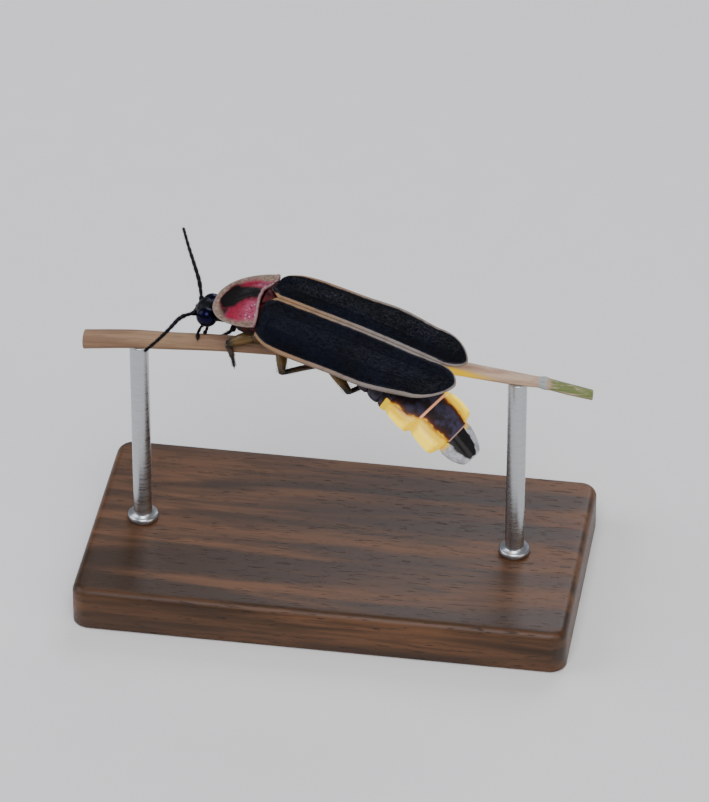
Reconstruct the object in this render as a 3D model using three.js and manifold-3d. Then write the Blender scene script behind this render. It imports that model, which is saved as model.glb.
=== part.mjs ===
// A life-size museum model of a male common eastern firefly (Photinus pyralis). It clings to a cut
// length of dry grass stem with its lantern lit, and a plain display stand carries the stem.
// Millimetres, +Z up, origin in the middle of the stand's underside.

import * as THREE from "three";
import { mergeVertices } from "three/addons/utils/BufferGeometryUtils.js";
import Module from "manifold-3d";

const wasm = await Module();
wasm.setup();

// Driving dimensions

// The joints of so small an animal are kept finer than those of a large model.
const GAP = 0.12;

// The beetle's own frame: X runs to the tail, Y to its right, Z to its back. Its origin is the tip
// of the scutellum on the level of the wing cases' outer margins.
const BODY_AT = [-3.0, -0.7, 17.0];
const BODY_TURN = { yaw: -14.9, pitch: 7.5, roll: 22.7 };

const ELYTRON = {
  baseX: -0.43,
  tipX: 10.38,
  tipY: 0.76,
  partX: 9.2,
  roundX: 8.2,
  thick: 0.5,
  rim: 0.09,
  bead: 0.06,
  rib: 0.035,
  tipLift: 0.22,
  halfWidth: [[-0.5, 1.65], [-0.1, 1.96], [0.5, 2.27], [1.5, 2.42], [4, 2.43], [6, 2.47], [8.2, 2.14]],
  arch: [
    [-0.5, 0.94], [0.1, 1.05], [1.5, 1.03], [4, 0.97], [6, 0.84], [8, 0.6], [9.6, 0.28], [10.4, 0.1],
  ],
  ribs: [0.34, 0.64],
  shoulder: { height: 0.22, x: 0.15, y: 1.6, long: 0.7, wide: 0.36 },
};

const SCUTELLUM = { frontX: -0.44, halfWidth: 0.42, thick: 0.5 };

const PRONOTUM = {
  at: [-0.562, 0, 0.227],
  turn: { yaw: 5.3, pitch: -21.1, roll: -7.7 },
  length: 3.07,
  halfWidth: 1.87,
  hump: 0.69,
  thick: 0.5,
};

const PROTHORAX = { frontX: -2.15, rearX: -0.22, halfWidth: 1.2, top: -0.3, bottom: -1.75 };

const HEAD = {
  at: [-3.93, -0.36, -2.3],
  turn: { yaw: 8, pitch: -24, roll: -7.7 },
  length: 1.25,
  width: 1.5,
  height: 1.45,
  eyeRadius: 0.56,
  eyeAt: [0.18, 0.48, 0.12],
};

// The palps' roots in the head's frame, their other points in the beetle's.
const PALP = {
  radius: 0.15,
  root: [-0.3, 0.18, -0.66],
  left: [[-4.02, -1.3, -2.68], [-3.74, -2.02, -2.46]],
  right: [[-3.76, -0.95, -3.05], [-3.64, -1.46, -2.62]],
};

const ANTENNA = {
  segments: 11,
  baseRadius: 0.26,
  tipRadius: 0.13,
  left: [
    [-4.3, -0.62, -2.2], [-4.68, -1.13, -1.92], [-4.82, -1.8, -1.42], [-4.85, -2.65, -1.04],
    [-5.0, -3.75, -0.7], [-5.3, -4.75, -0.55],
  ],
  right: [
    [-4.3, -0.2, -2.1], [-4.62, 0.3, -2.04], [-5.05, 1.0, -2.1], [-5.76, 1.88, -2.22],
    [-6.7, 3.02, -2.5], [-7.5, 4.05, -2.78],
  ],
};

// The thorax rises at its front to fill the space under the wing cases' roots.
const THORAX = { frontX: -0.36, rearX: 3.72, rise: 0.42, top: 0.02, bottom: -2.05, halfWidth: 1.5 };

const ABDOMEN = {
  back: [
    [3.85, 0, -0.62], [5.9, -0.3, -0.95], [8.15, -0.88, -1.52], [9.58, -1.32, -1.97],
    [10.65, -1.65, -2.52], [12.0, -2.1, -3.58],
  ],
  lengths: [0.85, 0.85, 0.85, 0.85, 0.6, 1.72, 1.82, 1.95],
  widths: [2.7, 2.85, 3.0, 3.15, 3.3, 3.6, 3.45, 2.4],
  heights: [1.6, 1.6, 1.58, 1.52, 1.46, 1.38, 1.24, 1.02],
  // Each ring's width along it, as shares of its length and of its widest.
  swell: [[0, 0.84], [0.12, 0.93], [0.45, 1], [0.8, 1], [0.93, 0.95], [1, 0.86]],
  firstLit: 5,
  tip: 7,
  roll: -2,
};

// The back plates of the two lit rings: half width, and the share of it lost at the rear corners.
const TERGITE = { halfWidths: [1.3, 0.86], tapers: [0.26, 0.12], thick: 0.42, raised: 0.05 };

// The stem's centreline from the stand's middle, with its radius: X, Z, radius.
const STEM = [
  [-13.3, 13.5, 0.5],
  [-10.7, 13.78, 0.48],
  [-8.76, 13.87, 0.45],
  [-5.96, 14.02, 0.43],
  [-1.4, 14.07, 0.42],
  [2.5, 13.94, 0.41],
  [5.9, 13.8, 0.39],
  [8.0, 13.58, 0.36],
  [9.6, 13.41, 0.33],
  [10.5, 13.35, 0.29],
  [10.8, 13.33, 0.34],
  [11.1, 13.27, 0.3],
  [12.0, 13.08, 0.3],
  [13.3, 12.85, 0.27],
];

const STAND = {
  length: 26,
  depth: 14,
  thick: 2.4,
  bevel: 0.4,
  rodRadius: 0.5,
  rodX: [-10.4, 9.4],
  // How far a rod reaches past the stem's underside, which its cupped end takes up.
  sink: 0.16,
};

// Each leg's joints in the beetle's frame: hip, knee, ankle, then the tarsus to its claws.
const LEGS = {
  leg_front_left: [[-0.78, -0.95, -1.75], [-2.17, -1.68, -2.35], [-1.88, -1.86, -3.1], [-1.76, -1.98, -3.85]],
  leg_front_right: [[-1.25, 0.5, -1.8], [-2.5, 1.3, -2.55], [-2.5, -0.5, -3.0], [-3.2, -0.95, -3.62]],
  leg_middle_left: [[0.5, -0.75, -2.0], [1.14, -2.17, -2.4], [2.45, -0.62, -3.1], [3.3, -0.2, -3.5]],
  leg_middle_right: [[0.6, 0.65, -2.0], [1.2, 2.1, -2.45], [2.2, 0.75, -3.1], [3.3, 0.75, -3.5]],
  leg_hind_left: [[2.9, -0.7, -2.0], [4.75, -1.75, -2.6], [6.0, 0.35, -3.25], [7.0, 0.85, -3.55]],
  leg_hind_right: [[2.9, 0.75, -2.0], [4.95, 2.0, -2.0], [7.1, 2.25, -2.5], [9.1, 2.35, -2.5]],
};
const LEG = {
  coxa: 0.34,
  femur: 0.3,
  femurEnd: 0.22,
  tibia: 0.2,
  tibiaEnd: 0.25,
  tarsus: 0.2,
  tarsomeres: 5,
  claw: { root: 0.1, tip: 0.03, length: 0.22, spread: 0.16 },
};

const COLOURS = {
  elytron: 0x0a0e1c,
  shield: 0x9a4a58,
  scutellum: 0x3a1214,
  black: 0x101018,
  leg: 0x4a3826,
  abdomen: 0x2a2028,
  lantern: 0xffd84a,
  tip: 0x6a686c,
  straw: 0xa8896a,
  stand: 0x2b2a2c,
  rod: 0xb8b8ba,
};

const RIGHT = new THREE.Vector3(0, 1, 0);

// Shapes

function turned(turn) {
  const rad = THREE.MathUtils.degToRad;
  return new THREE.Euler(rad(turn.roll), rad(turn.pitch), rad(turn.yaw), "ZYX");
}

function v3(list) {
  return new THREE.Vector3(...list);
}

// A smooth value at x through a few stations of [x, value].
function along(stations, x) {
  const last = stations.length - 1;
  if (x <= stations[0][0]) return stations[0][1];
  if (x >= stations[last][0]) return stations[last][1];
  const i = stations.findIndex(([at]) => at > x) - 1;
  const slope = (k) => {
    const a = stations[Math.max(k - 1, 0)];
    const b = stations[Math.min(k + 1, last)];
    return (b[1] - a[1]) / (b[0] - a[0]);
  };
  const [x0, y0] = stations[i];
  const [x1, y1] = stations[i + 1];
  const w = x1 - x0;
  const t = (x - x0) / w;
  const rise = 3 * t * t - 2 * t * t * t;
  const enter = t * (1 - t) * (1 - t) * w * slope(i);
  const leave = t * t * (t - 1) * w * slope(i + 1);
  return y0 + (y1 - y0) * rise + enter + leave;
}

function smoothStep(from, to, x) {
  const t = THREE.MathUtils.clamp((x - from) / (to - from), 0, 1);
  return t * t * (3 - 2 * t);
}

// A closed solid from shared vertices and triangles, turned outside out if need be.
function solidFrom(points, faces) {
  const vertProperties = new Float32Array(points.flatMap((p) => [p.x, p.y, p.z]));
  const make = (list) => new wasm.Manifold(
    new wasm.Mesh({ numProp: 3, vertProperties, triVerts: new Uint32Array(list.flat()) }),
  );
  const made = make(faces);
  return made.volume() > 0 ? made : make(faces.map(([a, b, c]) => [a, c, b]));
}

function solidOf(geometry) {
  const bare = geometry.clone();
  bare.deleteAttribute("normal");
  bare.deleteAttribute("uv");
  const merged = mergeVertices(bare, 1e-5);
  return new wasm.Manifold(
    new wasm.Mesh({
      numProp: 3,
      vertProperties: new Float32Array(merged.attributes.position.array),
      triVerts: new Uint32Array(merged.index.array),
    }),
  );
}

function geometryOf(solid) {
  const mesh = solid.getMesh();
  const geometry = new THREE.BufferGeometry();
  geometry.setAttribute("position", new THREE.BufferAttribute(mesh.vertProperties, 3));
  geometry.setIndex(new THREE.BufferAttribute(mesh.triVerts, 1));
  geometry.computeVertexNormals();
  return geometry;
}

function largest(solid) {
  return solid.decompose().reduce((a, b) => (b.volume() > a.volume() ? b : a));
}

function joined(solids) {
  return largest(solids.reduce((a, b) => a.add(b)));
}

// Rings of equally many points, skinned and closed by a fan at either end.
function loft(rings) {
  const n = rings[0].length;
  const points = rings.flat();
  const faces = [];
  for (let k = 0; k + 1 < rings.length; k++) {
    for (let i = 0; i < n; i++) {
      const a = k * n + i;
      const b = k * n + ((i + 1) % n);
      faces.push([a, b, b + n], [a, b + n, a + n]);
    }
  }
  const close = (start, flip) => {
    const ring = points.slice(start, start + n);
    const middle = points.push(ring.reduce((s, p) => s.add(p), new THREE.Vector3()).divideScalar(n)) - 1;
    for (let i = 0; i < n; i++) {
      const a = start + i;
      const b = start + ((i + 1) % n);
      faces.push(flip ? [middle, b, a] : [middle, a, b]);
    }
  };
  close(0, true);
  close((rings.length - 1) * n, false);
  return solidFrom(points, faces);
}

// A sheet: rows of points on its upper face, with the same rows moved by a thickness vector.
function sheet(rows, thickness) {
  const m = rows[0].length;
  const n = 2 * m;
  const points = rows.flatMap((row) => [...row, ...row.map((p) => p.clone().add(thickness)).reverse()]);
  const faces = [];
  for (let k = 0; k + 1 < rows.length; k++) {
    for (let i = 0; i < n; i++) {
      const a = k * n + i;
      const b = k * n + ((i + 1) % n);
      faces.push([a, b, b + n], [a, b + n, a + n]);
    }
  }
  const end = (start, flip) => {
    for (let i = 0; i + 1 < m; i++) {
      const [a, b, c, d] = [start + i, start + i + 1, start + n - 2 - i, start + n - 1 - i];
      faces.push(...(flip ? [[a, c, b], [a, d, c]] : [[a, b, c], [a, c, d]]));
    }
  };
  end(0, true);
  end((rows.length - 1) * n, false);
  return solidFrom(points, faces);
}

// A ring round a centre, squarer than an ellipse where the power is over 2.
function oval(centre, across, up, halfWidth, halfHeight, count, power = 2) {
  return Array.from({ length: count }, (_, i) => {
    const a = (2 * Math.PI * i) / count;
    const bent = (v) => Math.sign(v) * Math.abs(v) ** (2 / power);
    return centre.clone()
      .addScaledVector(across, halfWidth * bent(Math.cos(a)))
      .addScaledVector(up, halfHeight * bent(Math.sin(a)));
  });
}

// A straight or bent limb through points, with a radius at each.
function limb(points, radii, sides = 8) {
  const direction = points.map((p, i) => {
    const before = points[Math.max(i - 1, 0)];
    const after = points[Math.min(i + 1, points.length - 1)];
    return after.clone().sub(before).normalize();
  });
  let across = new THREE.Vector3(0.31, 0.17, 0.93).cross(direction[0]).normalize();
  const rings = points.map((p, i) => {
    across = across.addScaledVector(direction[i], -across.dot(direction[i])).normalize().clone();
    return oval(p, across, direction[i].clone().cross(across), radii[i], radii[i], sides);
  });
  return loft(rings);
}

// One straight piece of a limb: its radii are spread evenly from end to end.
function spindle(from, to, radii, sides = 8) {
  const points = radii.map((_, i) => from.clone().lerp(to, i / (radii.length - 1)));
  return limb(points, radii, sides);
}

function finish(name, solid, colour, parent, roughness = 0.5, metalness = 0) {
  const material = new THREE.MeshStandardMaterial({ color: colour, roughness, metalness });
  const mesh = new THREE.Mesh(geometryOf(solid), material);
  mesh.name = name;
  parent.add(mesh);
  return mesh;
}

// Cuts the neighbours, swollen by the gap, out of a mesh already in its place.
function trim(mesh, neighbours, gap = GAP) {
  root.updateMatrixWorld(true);
  let solid = solidOf(mesh.geometry);
  for (const neighbour of neighbours) {
    const swollen = neighbour.geometry.clone();
    const position = swollen.attributes.position;
    const normal = swollen.attributes.normal;
    for (let i = 0; i < position.count; i++) {
      const p = new THREE.Vector3().fromBufferAttribute(position, i);
      p.addScaledVector(new THREE.Vector3().fromBufferAttribute(normal, i), gap);
      position.setXYZ(i, p.x, p.y, p.z);
    }
    swollen.applyMatrix4(neighbour.matrixWorld);
    swollen.applyMatrix4(mesh.matrixWorld.clone().invert());
    solid = solid.subtract(solidOf(swollen));
  }
  mesh.geometry = geometryOf(largest(solid));
}

// The groups

const root = new THREE.Group();
const body = new THREE.Group();
body.position.set(...BODY_AT);
body.rotation.copy(turned(BODY_TURN));
root.add(body);

const shieldGroup = new THREE.Group();
shieldGroup.position.set(...PRONOTUM.at);
shieldGroup.rotation.copy(turned(PRONOTUM.turn));
body.add(shieldGroup);

const headGroup = new THREE.Group();
headGroup.position.set(...HEAD.at);
headGroup.rotation.copy(turned(HEAD.turn));
body.add(headGroup);

// Wing cases

function outerEdge(x) {
  if (x < ELYTRON.roundX) return along(ELYTRON.halfWidth, x);
  const start = along(ELYTRON.halfWidth, ELYTRON.roundX);
  const s = Math.min((x - ELYTRON.roundX) / (ELYTRON.tipX - ELYTRON.roundX), 1);
  return ELYTRON.tipY + (start - ELYTRON.tipY) * (1 - s * s) ** 0.72;
}

function innerEdge(x) {
  const seam = GAP / 2;
  if (x < 0.1) return seam + ((0.1 - x) / (0.1 - SCUTELLUM.frontX)) * (SCUTELLUM.halfWidth + GAP / 2);
  if (x < ELYTRON.partX) return seam;
  const s = Math.min((x - ELYTRON.partX) / (ELYTRON.tipX - ELYTRON.partX), 1);
  return seam + (ELYTRON.tipY - seam) * (1 - Math.sqrt(1 - s * s));
}

function elytronHeight(x, y) {
  const flat = 0.93;
  const { shoulder } = ELYTRON;
  const reach = Math.min(Math.abs(y) / (flat * outerEdge(x)), 1);
  const lift = ELYTRON.tipLift * smoothStep(7.5, ELYTRON.tipX, x);
  const away = ((x - shoulder.x) / shoulder.long) ** 2 + ((Math.abs(y) - shoulder.y) / shoulder.wide) ** 2;
  return along(ELYTRON.arch, x) * (1 - reach ** 2.4) + lift + shoulder.height * Math.exp(-away);
}

function elytron(side) {
  const shares = [0, 0.03, 0.07, 0.14, 0.3, 0.38, 0.52, 0.62, 0.72, 0.84, 0.91, 0.96, 1];
  const stations = 24;
  const rows = [];
  for (let k = 0; k <= stations; k++) {
    const eased = Math.sin((Math.PI / 2) * (k / stations)) * 0.55 + (k / stations) * 0.45;
    const x = ELYTRON.baseX + (ELYTRON.tipX - 0.01 - ELYTRON.baseX) * eased;
    const inner = innerEdge(x);
    const outer = outerEdge(x);
    rows.push(shares.map((share) => {
      const y = inner + (outer - inner) * share;
      const fromEdge = Math.min(y - inner, outer - y);
      const bead = ELYTRON.bead * Math.exp(-(((fromEdge - ELYTRON.rim) / ELYTRON.rim) ** 2));
      const fade = smoothStep(0.2, 1.2, x) * (1 - smoothStep(7.5, 9, x));
      const rib = ELYTRON.ribs.reduce((sum, at) => sum + Math.exp(-(((share - at) / 0.03) ** 2)), 0);
      return new THREE.Vector3(x, side * y, elytronHeight(x, y) + bead + ELYTRON.rib * rib * fade);
    }));
  }
  return sheet(rows, new THREE.Vector3(0, 0, -ELYTRON.thick));
}

const elytronLeft = finish("elytron_left", elytron(-1), COLOURS.elytron, body);
const elytronRight = finish("elytron_right", elytron(1), COLOURS.elytron, body);

function scutellum() {
  const rows = [0, 0.35, 0.7, 1].map((share) => {
    const x = SCUTELLUM.frontX * (1 - share);
    const half = SCUTELLUM.halfWidth * (1 - share) + 0.05;
    return [-1, -0.5, 0, 0.5, 1].map((s) => {
      const z = elytronHeight(x, half * s) - 0.03 - 0.05 * s * s;
      return new THREE.Vector3(x, half * s, z);
    });
  });
  return sheet(rows, new THREE.Vector3(0, 0, -SCUTELLUM.thick));
}

const scutellumMesh = finish("scutellum", scutellum(), COLOURS.scutellum, body);
trim(scutellumMesh, [elytronLeft, elytronRight]);

// Shield over the prothorax

function shieldHeight(x, y) {
  const { length, halfWidth, hump } = PRONOTUM;
  const out = (Math.abs(x / length) ** 2.2 + Math.abs(y / halfWidth) ** 2.3) ** (1 / 2.25);
  const dome = hump * (1 - smoothStep(0, 0.84, out));
  const turnedUp = 0.07 * smoothStep(0.86, 1, out);
  const swelling = 0.09 * Math.exp(-(((x + 0.95) / 0.6) ** 2) - ((Math.abs(y) - 0.85) / 0.45) ** 2);
  const rearRim = 0.05 * Math.exp(-(((x + 0.12) / 0.1) ** 2));
  return dome + turnedUp + swelling + rearRim;
}

function pronotum() {
  const { length, halfWidth, thick } = PRONOTUM;
  const shares = [-1, -0.94, -0.87, -0.75, -0.6, -0.42, -0.22, 0, 0.22, 0.42, 0.6, 0.75, 0.87, 0.94, 1];
  const stations = 15;
  const rows = [];
  for (let k = 0; k <= stations; k++) {
    const x = -(length - 0.01) * Math.cos((Math.PI / 2) * (k / stations));
    const half = halfWidth * (1 - (-x / length) ** 2.2) ** (1 / 2.3);
    rows.push(shares.map((s) => new THREE.Vector3(x, half * s, shieldHeight(x, half * s))));
  }
  const upright = v3([0, 0, -thick]).applyEuler(turned(PRONOTUM.turn));
  return sheet(rows, new THREE.Vector3(-upright.x, upright.y, upright.z));
}

const shield = finish("pronotum", pronotum(), COLOURS.shield, shieldGroup);
trim(shield, [elytronLeft, elytronRight, scutellumMesh]);

function blockAlongX(stations, count, power) {
  const up = new THREE.Vector3(0, 0, 1);
  return loft(stations.map(([x, half, top, bottom]) => {
    const centre = new THREE.Vector3(x, 0, (top + bottom) / 2);
    return oval(centre, RIGHT, up, half, (top - bottom) / 2, count, power);
  }));
}

function prothorax() {
  const { frontX, rearX, halfWidth, top, bottom } = PROTHORAX;
  const middle = (frontX + rearX) / 2;
  return blockAlongX([
    [frontX, halfWidth * 0.55, top - 0.35, bottom + 0.4],
    [frontX + 0.35, halfWidth * 0.82, top - 0.1, bottom + 0.12],
    [middle, halfWidth, top, bottom],
    [rearX - 0.3, halfWidth * 0.98, top, bottom],
    [rearX, halfWidth * 0.85, top - 0.15, bottom + 0.15],
  ], 16, 2.4);
}

const prothoraxMesh = finish("prothorax", prothorax(), COLOURS.black, shieldGroup);
trim(prothoraxMesh, [shield]);

// Head, eyes and mouthparts

function scaledBall(centre, x, y, z, columns = 16, rows = 11) {
  const ball = new THREE.SphereGeometry(1, columns, rows);
  ball.scale(x, y, z);
  ball.translate(...centre);
  return solidOf(ball);
}

function headCapsule() {
  const { length, width, height } = HEAD;
  const skull = scaledBall([0.05, 0, 0.05], length / 2, width / 2, height / 2, 18, 12);
  const brow = scaledBall([-0.22, 0, 0.2], 0.42, 0.42, 0.4, 12, 8);
  const muzzle = spindle(v3([-0.12, 0, -0.1]), v3([-0.42, 0, -0.86]), [0.52, 0.46, 0.34, 0.2], 10);
  return joined([skull, brow, muzzle]);
}

const headMesh = finish("head", headCapsule(), COLOURS.black, headGroup, 0.35);

const eyes = [-1, 1].map((side) => {
  const [x, y, z] = HEAD.eyeAt;
  const r = HEAD.eyeRadius;
  const name = side < 0 ? "eye_left" : "eye_right";
  return finish(name, scaledBall([x, side * y, z], r, r * 0.88, r, 16, 11), COLOURS.black, headGroup, 0.2);
});
trim(headMesh, eyes);

function neck() {
  const front = v3(HEAD.at);
  const rear = v3([PROTHORAX.frontX + 0.25, 0, (PROTHORAX.top + PROTHORAX.bottom) / 2]);
  rear.applyEuler(turned(PRONOTUM.turn)).add(v3(PRONOTUM.at));
  return spindle(rear, front, [0.46, 0.5, 0.5, 0.46], 12);
}

const neckMesh = finish("neck", neck(), COLOURS.black, body);
trim(neckMesh, [headMesh, prothoraxMesh, ...eyes, shield]);

function antenna(points) {
  const curve = new THREE.CatmullRomCurve3(points.map(v3));
  const steps = ANTENNA.segments * 2;
  const path = [];
  const radii = [];
  for (let i = 0; i <= steps; i++) {
    const share = i / steps;
    const swell = i % 2 ? 1.08 : 0.9;
    path.push(curve.getPointAt(share));
    radii.push(THREE.MathUtils.lerp(ANTENNA.baseRadius, ANTENNA.tipRadius, share) * swell);
  }
  return limb(path, radii, 8);
}

const antennae = [
  finish("antenna_left", antenna(ANTENNA.left), COLOURS.black, body),
  finish("antenna_right", antenna(ANTENNA.right), COLOURS.black, body),
];
antennae.forEach((mesh) => trim(mesh, [headMesh, ...eyes]));

function palp(side, points) {
  const [x, y, z] = PALP.root;
  const path = [v3([x, side * y, z]).applyEuler(turned(HEAD.turn)).add(v3(HEAD.at)), ...points.map(v3)];
  const radii = [1, 1.1, 1.2, 0.9, 1.1, 1.2, 0.6].map((share) => share * PALP.radius);
  return limb(new THREE.CatmullRomCurve3(path).getPoints(radii.length - 1), radii, 8);
}

const palps = [
  finish("palp_left", palp(-1, PALP.left), COLOURS.black, body),
  finish("palp_right", palp(1, PALP.right), COLOURS.black, body),
];
palps.forEach((mesh) => trim(mesh, [headMesh]));

// Middle and hind thorax, under the wing cases

function thorax() {
  const { frontX, rearX, rise, top, bottom, halfWidth } = THORAX;
  return blockAlongX([
    [frontX, halfWidth * 0.72, top + rise - 0.06, bottom + 0.35],
    [frontX + 0.5, halfWidth * 0.9, top + rise, bottom + 0.1],
    [frontX + 1.7, halfWidth, top + rise * 0.4, bottom],
    [rearX - 0.9, halfWidth, top, bottom],
    [rearX, halfWidth * 0.85, top - 0.35, bottom + 0.15],
  ], 18, 2.6);
}

const thoraxMesh = finish("thorax", thorax(), COLOURS.black, body);
trim(thoraxMesh, [prothoraxMesh, shield, scutellumMesh, elytronLeft, elytronRight]);

// Abdomen: eight rings along a back line that bends down and to the left

const backLine = new THREE.CatmullRomCurve3(ABDOMEN.back.map(v3), false, "centripetal");
const backLength = backLine.getLength();

function ringFrame(distance) {
  const share = THREE.MathUtils.clamp(distance / backLength, 0, 1);
  const top = backLine.getPointAt(share);
  const ahead = backLine.getTangentAt(share);
  const across = RIGHT.clone().addScaledVector(ahead, -RIGHT.dot(ahead)).normalize();
  across.applyAxisAngle(ahead, THREE.MathUtils.degToRad(ABDOMEN.roll * share));
  return { top, across, up: ahead.clone().cross(across) };
}

// One ring of the abdomen between two distances along the back, grown by a little all round.
function segment(i, from, to, grow = 0, stations = [0, 0.2, 0.6, 0.88, 1], count = 20) {
  return loft(stations.map((share) => {
    const { top, across, up } = ringFrame(from + (to - from) * share);
    const half = (ABDOMEN.widths[i] / 2) * along(ABDOMEN.swell, share) + grow;
    const tall = ABDOMEN.heights[i] / 2;
    const centre = top.clone().addScaledVector(up, -tall);
    return oval(centre, across, up, half, tall + grow, count, 2.3);
  }));
}

// The last ring: a rounded plate with a ridge down its back.
function tipSegment(from, to) {
  const i = ABDOMEN.tip;
  const stations = [0, 0.18, 0.4, 0.6, 0.78, 0.9, 0.98];
  return loft(stations.map((share) => {
    const { top, across, up } = ringFrame(from + (to - from) * share);
    const round = (1 - share ** 2.6) ** 0.5;
    const half = (ABDOMEN.widths[i] / 2) * round * (0.92 + 0.08 * smoothStep(0, 0.2, share));
    const tall = (ABDOMEN.heights[i] / 2) * (0.35 + 0.65 * round);
    const ring = oval(top.clone().addScaledVector(up, -tall), across, up, half, tall, 20, 2.2);
    ring[5].addScaledVector(up, 0.07 * round);
    return ring;
  }));
}

// The strip that the dark back plate covers, as a cutter along one ring.
function plateCutter(from, to, halfWidth, narrowing, below) {
  const stations = [-0.1, 0.35, 0.65, 0.82, 1.1];
  return loft(stations.map((share) => {
    const { top, across, up } = ringFrame(from + (to - from) * share);
    const taper = 1 - narrowing * smoothStep(0.6, 1, share);
    return [[-1, -below], [1, -below], [1, 1], [-1, 1]].map(([side, height]) => top.clone()
      .addScaledVector(across, side * halfWidth * taper)
      .addScaledVector(up, height));
  }));
}

const abdomenMeshes = [];
let reached = 0;
ABDOMEN.lengths.forEach((length, i) => {
  const from = reached + GAP / 2;
  const to = reached + length - GAP / 2;
  reached += length;
  if (i === ABDOMEN.tip) {
    abdomenMeshes.push(finish("abdomen_tip_8", tipSegment(from, to), COLOURS.tip, body, 0.4));
    return;
  }
  if (i < ABDOMEN.firstLit) {
    abdomenMeshes.push(finish(`abdomen_${i + 1}`, segment(i, from, to), COLOURS.abdomen, body));
    return;
  }
  const fine = [0, 0.12, 0.3, 0.5, 0.7, 0.86, 0.95, 1];
  const whole = segment(i, from, to, 0, fine, 24);
  const raised = segment(i, from, to, TERGITE.raised, fine, 24);
  const plate = i - ABDOMEN.firstLit;
  const [half, narrowing] = [TERGITE.halfWidths[plate], TERGITE.tapers[plate]];
  const inside = plateCutter(from, to, half, narrowing, TERGITE.thick);
  const outside = plateCutter(from, to, half + GAP / 2, narrowing, TERGITE.thick + GAP / 2);
  const lantern = largest(whole.subtract(outside));
  abdomenMeshes.push(finish(`lantern_${i + 1}`, lantern, COLOURS.lantern, body, 0.3));
  abdomenMeshes.push(finish(`tergite_${i + 1}`, largest(raised.intersect(inside)), COLOURS.abdomen, body));
});
trim(abdomenMeshes[0], [thoraxMesh]);

// Grass stem and display stand

const stemPoints = STEM.map(([x, z]) => new THREE.Vector3(x, 0, z));
const stem = finish("perch_stem", limb(stemPoints, STEM.map((s) => s[2]), 12), COLOURS.straw, root, 0.7);

function standBase() {
  const { length, depth, thick, bevel } = STAND;
  const slab = (z, inset) => [[-1, -1], [1, -1], [1, 1], [-1, 1]].map(([sx, sy]) => new THREE.Vector3(
    sx * (length / 2 - inset), sy * (depth / 2 - inset), z,
  ));
  return loft([slab(0, 0), slab(thick - bevel, 0), slab(thick, bevel)]);
}

const standBaseMesh = finish("stand_base", standBase(), COLOURS.stand, root, 0.45);

STAND.rodX.forEach((x, i) => {
  const height = along(STEM.map(([at, z]) => [at, z]), x);
  const radius = along(STEM.map(([at, , r]) => [at, r]), x);
  const bottom = new THREE.Vector3(x, 0, STAND.thick + GAP);
  const top = new THREE.Vector3(x, 0, height - radius + STAND.sink);
  const rod = spindle(bottom, top, [STAND.rodRadius, STAND.rodRadius], 16);
  const mesh = finish(`stand_rod_${i ? "right" : "left"}`, rod, COLOURS.rod, root, 0.35, 0.9);
  trim(mesh, [stem]);
});

// Legs

function leg(points) {
  const [hip, knee, ankle, end] = points.map(v3);
  const side = Math.sign(hip.y);
  const foot = end.clone().sub(ankle);
  const pieces = [
    spindle(hip.clone().add(v3([0, -side * 0.1, 0.25])), hip.clone().add(v3([0, side * 0.12, -0.22])),
      [LEG.coxa * 0.8, LEG.coxa, LEG.coxa * 0.75]),
    spindle(hip, knee, [LEG.femurEnd, LEG.femur, LEG.femur, LEG.femurEnd, LEG.femurEnd * 0.8]),
    spindle(knee, ankle, [LEG.tibia * 0.9, LEG.tibia, LEG.tibia, LEG.tibiaEnd]),
  ];
  for (let i = 0; i < LEG.tarsomeres; i++) {
    const from = ankle.clone().addScaledVector(foot, i / LEG.tarsomeres - 0.03);
    const to = ankle.clone().addScaledVector(foot, (i + 1) / LEG.tarsomeres);
    const r = LEG.tarsus * (1 - 0.06 * i);
    pieces.push(spindle(from, to, [r * 0.75, r], 7));
  }
  const ahead = foot.clone().normalize();
  const across = ahead.clone().cross(v3([0.2, 0.3, 1])).normalize();
  const { claw } = LEG;
  const clawRoot = end.clone().addScaledVector(ahead, -claw.root);
  [-1, 1].forEach((way) => {
    const tip = end.clone().addScaledVector(ahead, claw.length).addScaledVector(across, way * claw.spread);
    pieces.push(spindle(clawRoot, tip, [claw.root, claw.tip], 5));
  });
  return joined(pieces);
}

for (const [name, points] of Object.entries(LEGS)) {
  const mesh = finish(name, leg(points), COLOURS.leg, body);
  trim(mesh, [thoraxMesh, prothoraxMesh, stem, elytronLeft, elytronRight, shield, ...abdomenMeshes]);
}

export default root;
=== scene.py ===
"""The finished surfaces of a life-size museum model: a male common eastern firefly, lantern lit, on a
cut length of dry grass stem that a plain display stand carries."""

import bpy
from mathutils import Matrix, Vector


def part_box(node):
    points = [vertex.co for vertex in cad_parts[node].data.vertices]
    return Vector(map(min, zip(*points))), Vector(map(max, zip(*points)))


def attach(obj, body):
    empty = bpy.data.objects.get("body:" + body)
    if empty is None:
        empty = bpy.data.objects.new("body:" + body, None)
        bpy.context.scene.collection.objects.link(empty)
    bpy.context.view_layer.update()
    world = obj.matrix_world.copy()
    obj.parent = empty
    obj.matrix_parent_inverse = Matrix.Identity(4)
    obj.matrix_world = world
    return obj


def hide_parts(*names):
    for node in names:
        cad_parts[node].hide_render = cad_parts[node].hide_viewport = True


bl_info = {
    "name": "Firefly specimen",
    "version": (1, 0, 0),
    "blender": (4, 5, 0),
    "location": "View3D > Sidebar > Firefly",
    "description": "Builds a life-size firefly on its cut stem and display stand, with a studio round it",
    "category": "Add Mesh",
}

import functools
import math

import bmesh
import bpy
import numpy as np
from mathutils import Euler, Matrix, Vector

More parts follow.
